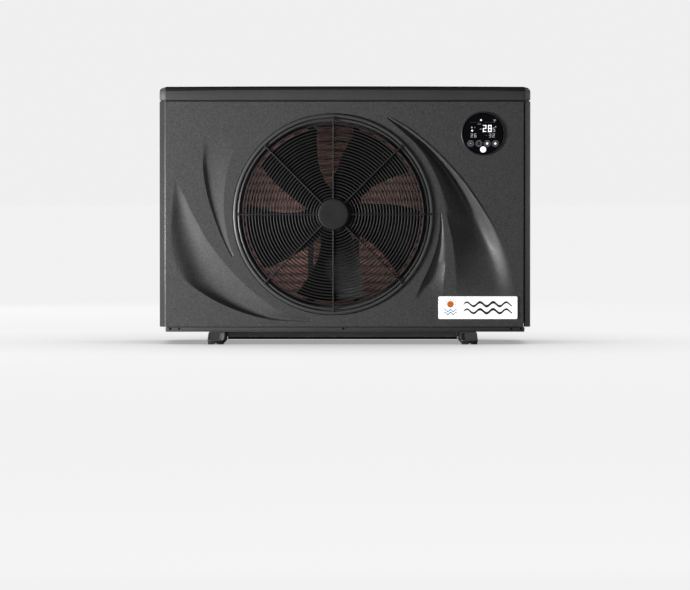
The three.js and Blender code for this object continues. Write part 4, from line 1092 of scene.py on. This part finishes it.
# ---- Base, feet and bar ----------------------------------------------------------------------------------------
def base():
    low, high = BASE
    z0, z1 = low.z, high.z
    shape = Shape()
    plan = [(x, y, nx, ny) for x, y, nx, ny in (
        plan_arc(high.x - 0.003, high.y - 0.003, 0.003, 0, 90, 3)
        + plan_arc(low.x + 0.003, high.y - 0.003, 0.003, 90, 180, 3)
        + plan_arc(low.x + 0.003, low.y + 0.003, 0.003, 180, 270, 3)
        + plan_arc(high.x - 0.003, low.y + 0.003, 0.003, 270, 360, 3))]
    levels = [(0.0035, z0), (0.0012, z0), (0.0004, z0 + 0.0005), (0.0004, z0 + 0.0026), (0.0016, z0 + 0.0030),
              (0.0016, z0 + 0.0040), (0.0, z0 + 0.0044), (0.0, z1 - 0.0022), (0.0008, z1 - 0.0012), (0.0016, z1),
              (0.0028, z1), (0.0028, z0 + 0.0025)]
    rings = [[(x - nx * d, y - ny * d, z) for x, y, nx, ny in plan] for d, z in levels]
    shape.loft(rings)
    shape.make("base_tray", [CABINET_GREY], "cabinet", "cabinet_grey", ["base_pan"])
    screws = Shape()
    for x in (-0.4532, -0.4297, -0.0052, 0.4294, 0.4540):
        screws.screw(x, low.y + 0.0004, z0 + 0.0080, 0.0028)
    screws.make("base_screws", [SCREW_STEEL], "cabinet", "cabinet_grey")


RAIL_LEAN, RAIL_TOP, RAIL_TALL = 0.003, 0.0325, 0.0235


def splay(z):
    """How far outwards a rail's walls have leant at a height."""
    return RAIL_LEAN * (RAIL_TOP - z) / RAIL_TALL


def foot(word, side):
    low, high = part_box(f"foot_rail_{word}")
    z0, z1 = low.z, high.z
    width, lean = 0.043, RAIL_LEAN
    middle = low.x + width / 2 + (lean if side < 0 else 0)
    y0, y1 = low.y, high.y
    body0, body1 = y0 + 0.017, y1 - 0.017

    def shift(z):
        return side * splay(z)

    def section(inset, bottom, top):
        """Half-round-cornered cross section of the rail, as (x, z)."""
        w = width / 2 - inset
        points = [(-w, bottom), (-w, top - 0.003), (-w + 0.0009, top - 0.0009), (-w + 0.003, top),
                  (w - 0.003, top), (w - 0.0009, top - 0.0009), (w, top - 0.003), (w, bottom)]
        return [(middle + x + shift(z), z) for x, z in points]

    shape = Shape()
    outer = section(0.0, z0 + 0.0002, z1)
    inner = section(0.0026, z0 + 0.0002, z1 - 0.0026)
    ring = outer + inner[::-1]
    shape.rows([[(x, y, z) for x, z in ring] for y in (body0, body1)], wrap_columns=True)
    for y in (body0, body1):
        count = len(outer)
        ends = [(x, y, z) for x, z in ring]
        shape.add(ends, [(i, i + 1, 2 * count - 2 - i, 2 * count - 1 - i) for i in range(count - 1)])
    for end, sign in ((y0, -1), (y1, 1)):
        inner_y = end - sign * 0.0172
        # On the left foot the end wall is folded: a broad face, and a flange turned the other way. On the right foot
        # it is one face, set at a slant.
        folds = ((-0.0204, 0.0), (0.0085, 0.0046), (0.0095, 0.0046), (0.0204, 0.0006))
        if side > 0:
            folds = ((-0.0204, 0.0030), (0.0204, 0.0))
        columns = []
        for x, deep in folds:
            y = inner_y - sign * deep
            ends = [(middle + x + shift(z), z) for z in (z0, z1 - 0.0004)]
            columns.append([(ends[0][0], y, ends[0][1]), (ends[1][0], y, ends[1][1]),
                            (ends[1][0], y - sign * 0.002, ends[1][1]), (ends[0][0], y - sign * 0.002, ends[0][1])])
        shape.loft(columns)
        # The tab carries a slot for the anchor bolt.
        cx = middle + side * lean
        reach = sorted((inner_y, end))
        outline = rounded(cx - width / 2, reach[0], cx + width / 2, reach[1], 0.003, 3)
        slot_y = end - sign * 0.0085
        slot = rounded(cx - 0.009, slot_y - 0.0042, cx + 0.009, slot_y + 0.0042, 0.0041, 5)
        flat, faces = flat_with_holes(outline, [slot])
        for z in (z0, z0 + 0.0028):
            shape.add([(p.x, p.y, z) for p in flat], faces)
        for loop in (outline, slot):
            shape.rows([[(a, b, z) for a, b in loop] for z in (z0, z0 + 0.0028)], wrap_columns=True)
    shape.make(f"foot_{word}", [FOOT_COAT], "cabinet", "cabinet_grey", [f"foot_rail_{word}"])
    for place in ("front", "rear"):
        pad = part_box(f"rubber_pad_{place}_{word}")
        rubber = Shape()
        cx = (pad[0].x + pad[1].x) / 2
        half = (pad[1].x - pad[0].x) / 2
        top = pad[1].z
        lobe = [(-half, top - 0.0010), (-half + 0.0005, 0.0010), (-half + 0.0016, 0.0), (-0.0050, 0.0),
                (-0.0036, 0.0006), (-0.0022, 0.0022), (0.0, 0.0026), (0.0022, 0.0022), (0.0036, 0.0006), (0.0050, 0.0),
                (half - 0.0016, 0.0), (half - 0.0005, 0.0010), (half, top - 0.0010), (half - 0.0008, top - 0.0001),
                (-half + 0.0008, top - 0.0001)]
        rows = []
        for y, k in ((pad[0].y, 0.94), (pad[0].y + 0.0008, 1.0), (pad[1].y - 0.0008, 1.0), (pad[1].y, 0.94)):
            rows.append([(cx + x * k, y, top / 2 + (z - top / 2) * (0.9 if k < 1 else 1)) for x, z in lobe])
        rubber.loft(rows)
        rubber.make(f"pad_{place}_{word}", [RUBBER], "cabinet", "rubber_black", [f"rubber_pad_{place}_{word}"])


def crossbar():
    low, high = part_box("rear_crossbar")
    shape = Shape()
    x0, x1 = low.x, high.x
    depth, tall, t, r = high.y - low.y, high.z - low.z, 0.002, 0.003
    outer = [(depth, 0), (r, 0), (r * 0.3, r * 0.3), (0, r), (0, tall - r), (r * 0.3, tall - r * 0.3), (r, tall),
             (depth, tall)]
    inner = [(depth, tall - t), (r + t * 0.4, tall - t), (t, tall - r), (t, r), (r + t * 0.4, t), (depth, t)]
    ring = outer + inner
    ends = ((x0, -1), (x1, 1))
    shape.loft([[(x + side * splay(low.z + z), low.y + y, low.z + z) for y, z in ring] for x, side in ends])
    strip = [(-0.0006, 0.0004), (-0.0006, 0.0056), (0.0004, 0.0056), (0.0004, 0.0004)]
    shape.loft([[(x, low.y + y + 0.0001, low.z + z) for y, z in strip] for x in (x0, x1)], 1)
    # The bar's coat is lightened: painted light for a bar that sits in the cabinet's shade.
    shape.make("rear_bar", [BAR_LIGHTENED_COAT, RUBBER], "cabinet", "galvanised", ["rear_crossbar"])


# ---- Rear ------------------------------------------------------------------------------------------------------
def rear_grille():
    low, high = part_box("rear_coil_guard")
    shape = Shape()
    y = (low.y + high.y) / 2
    r = 0.0012
    x0, x1, z0, z1 = low.x + 0.002, high.x - 0.002, low.z + 0.002, high.z - 0.002
    frame_path = [(a, y, b) for a, b in rounded(x0, z0, x1, z1, 0.006, 5)]
    shape.tube(frame_path, 0.0015, 8, closed=True)
    rows, columns = 30, 14
    for i in range(1, rows):
        z = lerp(z0, z1, i / rows)
        shape.tube([(x0, y - 0.0003, z), (x1, y - 0.0003, z)], r, 8)
    for i in range(1, columns):
        x = lerp(x0, x1, i / columns)
        shape.tube([(x, y + 0.0004, z0), (x, y + 0.0004, z1)], r, 8)
    shape.make("rear_grille_wires", [GUARD_WIRE], "cabinet", "guard_black", ["rear_coil_guard"], 60)


def service_panel():
    low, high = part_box("rear_service_panel")
    shape = Shape()
    y0, y1 = low.y, high.y
    spots = []
    for node, radius in (("union_tail_inlet", 0.0265), ("union_tail_outlet", 0.0265), ("gauge_case", 0.0262),
                         ("cable_gland", 0.0102)):
        a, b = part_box(node)
        spots.append(circle((a.x + b.x) / 2, (a.z + b.z) / 2, radius, 48))
    outline = [(low.x, low.z + 0.0004), (high.x, low.z + 0.0004), (high.x, high.z - 0.0012), (low.x, high.z - 0.0012)]
    flat, faces = flat_with_holes(outline, spots)
    for y in (y0, y1):
        shape.add([(p.x, y, p.y) for p in flat], faces)
    for loop in [outline, *spots]:
        shape.rows([[(a, y, b) for a, b in loop] for y in (y0, y1)], wrap_columns=True)
    for x in (low.x + 0.010, high.x - 0.010):
        for z in (low.z + 0.016, (low.z + high.z) / 2, high.z - 0.018):
            shape.screw(x, y1, z, 0.0040, 1)
    shape.make("service_panel", [CABINET_GREY], "cabinet", "cabinet_grey", ["rear_service_panel"])


def unions():
    for word in ("inlet", "outlet"):
        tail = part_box(f"union_tail_{word}")
        x, z = (tail[0].x + tail[1].x) / 2, (tail[0].z + tail[1].z) / 2
        y0, y1 = tail[0].y, tail[1].y
        profile = [(0.020, y0), (0.025, y0), (0.025, REAR + 0.0006), (0.0355, REAR + 0.0006), (0.036, REAR + 0.0012),
                   (0.036, REAR + 0.0040), (0.035, REAR + 0.0050), (0.0262, REAR + 0.0056), (0.025, REAR + 0.0068),
                   (0.025, y1 - 0.0070), (0.0256, y1 - 0.0062), (0.0296, y1 - 0.0058), (0.030, y1 - 0.0050),
                   (0.030, y1 - 0.0008), (0.0294, y1), (0.0275, y1), (0.0270, y1 - 0.0016), (0.0250, y1 - 0.0016),
                   (0.0245, y1), (0.0210, y1), (0.020, y1 - 0.001)]
        Shape().turned(profile, (x, 0, z), 72).make(
            f"union_pipe_{word}", [PIPE_GREY], "cabinet", "pipe_grey", [f"union_tail_{word}"])
        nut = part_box(f"union_nut_{word}")
        n0, n1 = nut[0].y, nut[1].y
        shape = Shape()
        threads = []
        for k in range(7):
            y = n1 - 0.002 - k * 0.0022
            threads += [(0.0318, y), (0.0330, y - 0.0011)]
        profile = [(0.0262, n0 + 0.0004), (0.0372, n0), (0.0385, n0 + 0.0008), (0.0392, n0 + 0.0026),
                   (0.0398, n1 - 0.0026), (0.0392, n1 - 0.0008), (0.0380, n1), (0.0330, n1), *threads,
                   (0.0316, n0 + 0.0105), (0.0262, n0 + 0.0100)]
        shape.turned(profile, (x, 0, z), 96)
        for k in range(12):
            a = TAU * k / 12
            c, s = math.cos(a), math.sin(a)
            rib = [(0.0385, -0.0034), (0.0418, -0.0026), (0.0430, 0.0), (0.0418, 0.0026), (0.0385, 0.0034)]
            rows = []
            for y, lift in ((n0 + 0.0020, 0.7), (n0 + 0.0045, 1.0), (n1 - 0.0045, 1.0), (n1 - 0.0020, 0.7)):
                row = [(lerp(0.0375, r, lift), w) for r, w in rib]
                rows.append([(x + r * c - w * s, y, z + r * s + w * c) for r, w in row])
            shape.loft(rows)
        shape.make(f"union_nut_{word}_ribbed", [PIPE_GREY], f"{word}_nut", "pipe_grey", [f"union_nut_{word}"])


def gauge():
    low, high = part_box("gauge_case")
    x, z = (low.x + high.x) / 2, (low.z + high.z) / 2
    profile = [(0.0005, low.y), (0.0255, low.y), (0.0258, low.y + 0.001), (0.0258, REAR + 0.0004),
               (0.0292, REAR + 0.0004), (0.0300, REAR + 0.0014), (0.0298, high.y - 0.0010), (0.0285, high.y),
               (0.0252, high.y), (0.0240, high.y - 0.0008), (0.0236, high.y - 0.0026), (0.0236, REAR - 0.0080),
               (0.0005, REAR - 0.0080)]
    Shape().turned(profile, (x, 0, z), 96).make("gauge_body", [ENAMEL], "cabinet", "enamel_black", ["gauge_case"])
    dial = Shape()
    y = REAR - 0.0076
    dial.turned([(0.0034, y + 0.0002), (0.0232, y + 0.0002), (0.0232, y), (0.0034, y)], (x, 0, z), 64)
    for i in range(28):
        a = math.radians(225 - 270 * i / 27)
        c, s = -math.cos(a), math.sin(a)
        major = i % 3 == 0
        r0, w = (0.0165, 0.00035) if major else (0.0190, 0.0002)
        bar = [(r0, -w), (0.0215, -w), (0.0215, w), (r0, w)]
        dial.plate([(x + r * c - v * s, z + r * s + v * c) for r, v in bar], y + 0.0001, y + 0.0004, kind=1)
    white = Look("dial_white", 0.4).mottled((0.82, 0.82, 0.80), 0.04, 60.0).material
    black = Look("dial_black", 0.4).mottled((0.01, 0.01, 0.01), 0.1, 60.0).material
    dial.make("gauge_dial", [white, black], "cabinet", "badge_white")


def gland():
    low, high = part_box("cable_gland")
    x, z = (low.x + high.x) / 2, (low.z + high.z) / 2
    shape = Shape()
    hexagon = [(x + 0.0148 * math.cos(TAU * i / 6), z + 0.0148 * math.sin(TAU * i / 6)) for i in range(6)]
    rows = []
    for y, k in ((REAR + 0.0005, 0.97), (REAR + 0.0012, 1.0), (REAR + 0.0052, 1.0), (REAR + 0.0060, 0.96)):
        rows.append([(lerp(x, a, k), y, lerp(z, b, k)) for a, b in hexagon])
    shape.loft(rows)
    body = [(0.005, low.y), (0.0098, low.y), (0.0098, REAR + 0.0004), (0.0125, REAR + 0.0062), (0.0130, REAR + 0.0075),
            (0.0130, REAR + 0.0155), (0.0118, REAR + 0.0185), (0.0088, high.y - 0.0006), (0.0076, high.y),
            (0.0056, high.y), (0.005, high.y - 0.0010)]
    shape.turned(body, (x, 0, z), 48)
    for k in range(16):
        a = TAU * k / 16
        c, s = math.cos(a), math.sin(a)
        shape.tube([(x + 0.0127 * c, y, z + 0.0127 * s) for y in (REAR + 0.0080, REAR + 0.0150)], 0.0006, 6)
    shape.make("gland_body", [PIPE_GREY], "cabinet", "pipe_grey", ["cable_gland"])


# ---- CAD nodes that stay -------------------------------------------------------------------------------------------
KEPT = {
    "motor_housing": ENAMEL, "motor_end_cap": ENAMEL, "motor_stator": LAMINATION, "motor_rotor": STEEL,
    "motor_shaft": STEEL, "motor_bearing_front": STEEL, "motor_bearing_rear": STEEL, "motor_bracket": DARK_STEEL,
    "coil_header": COPPER, "discharge_pipe": COPPER, "suction_pipe": COPPER, "liquid_pipe": COPPER,
    "coil_end_plate_left": GALVANISED, "coil_end_plate_right": GALVANISED, "partition_plate": GALVANISED,
    "compressor": ENAMEL, "compressor_mount_1": RUBBER, "compressor_mount_2": RUBBER, "compressor_mount_3": RUBBER,
    "accumulator": ENAMEL, "heat_exchanger": PIPE_GREY, "four_way_valve": BRASS, "expansion_valve": BRASS,
    "electrical_box": GALVANISED, "control_board": BOARD, "display_module": ENAMEL, "drain_spout": PIPE_GREY,
    "gauge_needle": NEEDLE_RED,
}


def kept_nodes():
    for name, material in KEPT.items():
        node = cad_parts[name]
        node.data.materials.clear()
        node.data.materials.append(material)
    lens = Look("lens_clear_plastic", 0.03, IOR=1.49, Transmission_Weight=1.0)
    lens.colour(lens.ramp(lens.noise(40.0), [(0.3, (0.95, 0.96, 0.96)), (0.7, (1.0, 1.0, 1.0))]))
    lens.rough(0.02, 0.05, 30.0)
    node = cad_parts["gauge_lens"]
    node.data.materials.clear()
    node.data.materials.append(lens.material)


# ---- Camera, light and floor --------------------------------------------------------------------------------------
def camera():
    """Level with the middle of the unit and far off, looking slightly down."""
    data = bpy.data.cameras.new("camera")
    data.sensor_width = 36
    distance, view_width = 11.0, 1.785
    data.lens = data.sensor_width * distance / view_width
    data.clip_end = 300
    eye = Vector((0, FRONT - distance, 0.375))
    target = Vector((0, FRONT, 0.1278))
    cam = bpy.data.objects.new("camera", data)
    cam.location = eye
    cam.rotation_euler = (target - eye).to_track_quat("-Z", "Y").to_euler()
    bpy.context.scene.collection.objects.link(cam)
    bpy.context.scene.camera = cam


def area_light(name, place, target, size, power, colour=(1, 1, 1)):
    data = bpy.data.lights.new(name, "AREA")
    data.shape = "RECTANGLE"
    data.size, data.size_y = size
    data.energy = power
    data.color = colour
    lamp = bpy.data.objects.new(name, data)
    lamp.location = place
    lamp.rotation_euler = (Vector(target) - Vector(place)).to_track_quat("-Z", "Y").to_euler()
    lamp.visible_camera = False
    bpy.context.scene.collection.objects.link(lamp)


def seen_and_cast(tree, seen, cast):
    """A strength that is seen to the camera, and cast to everything else."""
    ray = tree.nodes.new("ShaderNodeLightPath")
    strength = tree.nodes.new("ShaderNodeMapRange")
    strength.inputs["To Min"].default_value = cast
    strength.inputs["To Max"].default_value = seen
    tree.links.new(ray.outputs["Is Camera Ray"], strength.inputs["Value"])
    return strength.outputs["Result"]


def pale_floor():
    mesh = bpy.data.meshes.new("floor")
    ring = circle(0, 0, 400, 128)
    mesh.from_pydata([(x, y, 0) for x, y in ring], [], [tuple(range(128))])
    floor = bpy.data.objects.new("floor", mesh)
    bpy.context.scene.collection.objects.link(floor)
    look = Look("floor_with_painted_shadow", 0.9)
    look.shader.inputs["Base Color"].default_value = (0.06, 0.06, 0.06, 1)
    look.shader.inputs["Specular IOR Level"].default_value = 0.0
    look.link(seen_and_cast(look.tree, 0.88, 0.2), look.shader.inputs["Emission Strength"])
    # Painted shadow: ambient occlusion darkens the floor's glow near the unit.
    near = look.node("ShaderNodeAmbientOcclusion", samples=12)
    near.inputs["Distance"].default_value = 0.9
    tone = look.ramp(near.outputs["AO"], [(0.25, (0.38, 0.38, 0.39)), (0.97, (1.0, 0.995, 1.0))])
    look.link(tone, look.shader.inputs["Emission Color"])
    mesh.materials.append(look.material)


def stage():
    world = bpy.data.worlds.new("studio")
    world.use_nodes = True
    bpy.context.scene.world = world
    background = world.node_tree.nodes["Background"]
    background.inputs["Color"].default_value = (0.985, 0.985, 0.995, 1)
    strength = seen_and_cast(world.node_tree, 0.88, 0.13)
    world.node_tree.links.new(strength, background.inputs["Strength"])
    pale_floor()
    area_light("key", (-2.3, -1.08, 0.05), (0, FRONT, 0.35), (0.6, 0.6), 192)
    area_light("fill", (0.4, -7.0, 0.7), (0, FRONT, 0.35), (2.0, 1.0), 11)
    area_light("rim", (2.6, 0.5, 0.6), (0.48, FRONT + 0.02, 0.35), (0.6, 1.4), 35)
    area_light("back", (-1.6, 3.4, 1.6), (0, REAR, 0.35), (2.0, 1.6), 60)
    # Small lamps behind the fan's blades bring out the coil.
    for i in range(4):
        a = math.radians(45 + 90 * i)
        x, z = FAN.x + 0.16 * math.cos(a), FAN.z + 0.16 * math.sin(a)
        power = 0.16 if x < FAN.x else 0.08
        area_light(f"inner_{i}", (x, FRONT + 0.14, z), (x, REAR, z), (0.10, 0.10), power, (1, 0.98, 0.97))
    bpy.context.scene.view_settings.view_transform = "Standard"
    bpy.context.scene.view_settings.look = "None"


camera()
stage()
front_panel()
header()
lid()
right_side()
left_side()
fan_ring()
fan_guard()
fan()
evaporator()
display()
name_plate()
base()
foot("left", -1)
foot("right", 1)
crossbar()
rear_grille()
service_panel()
unions()
gauge()
gland()
kept_nodes()
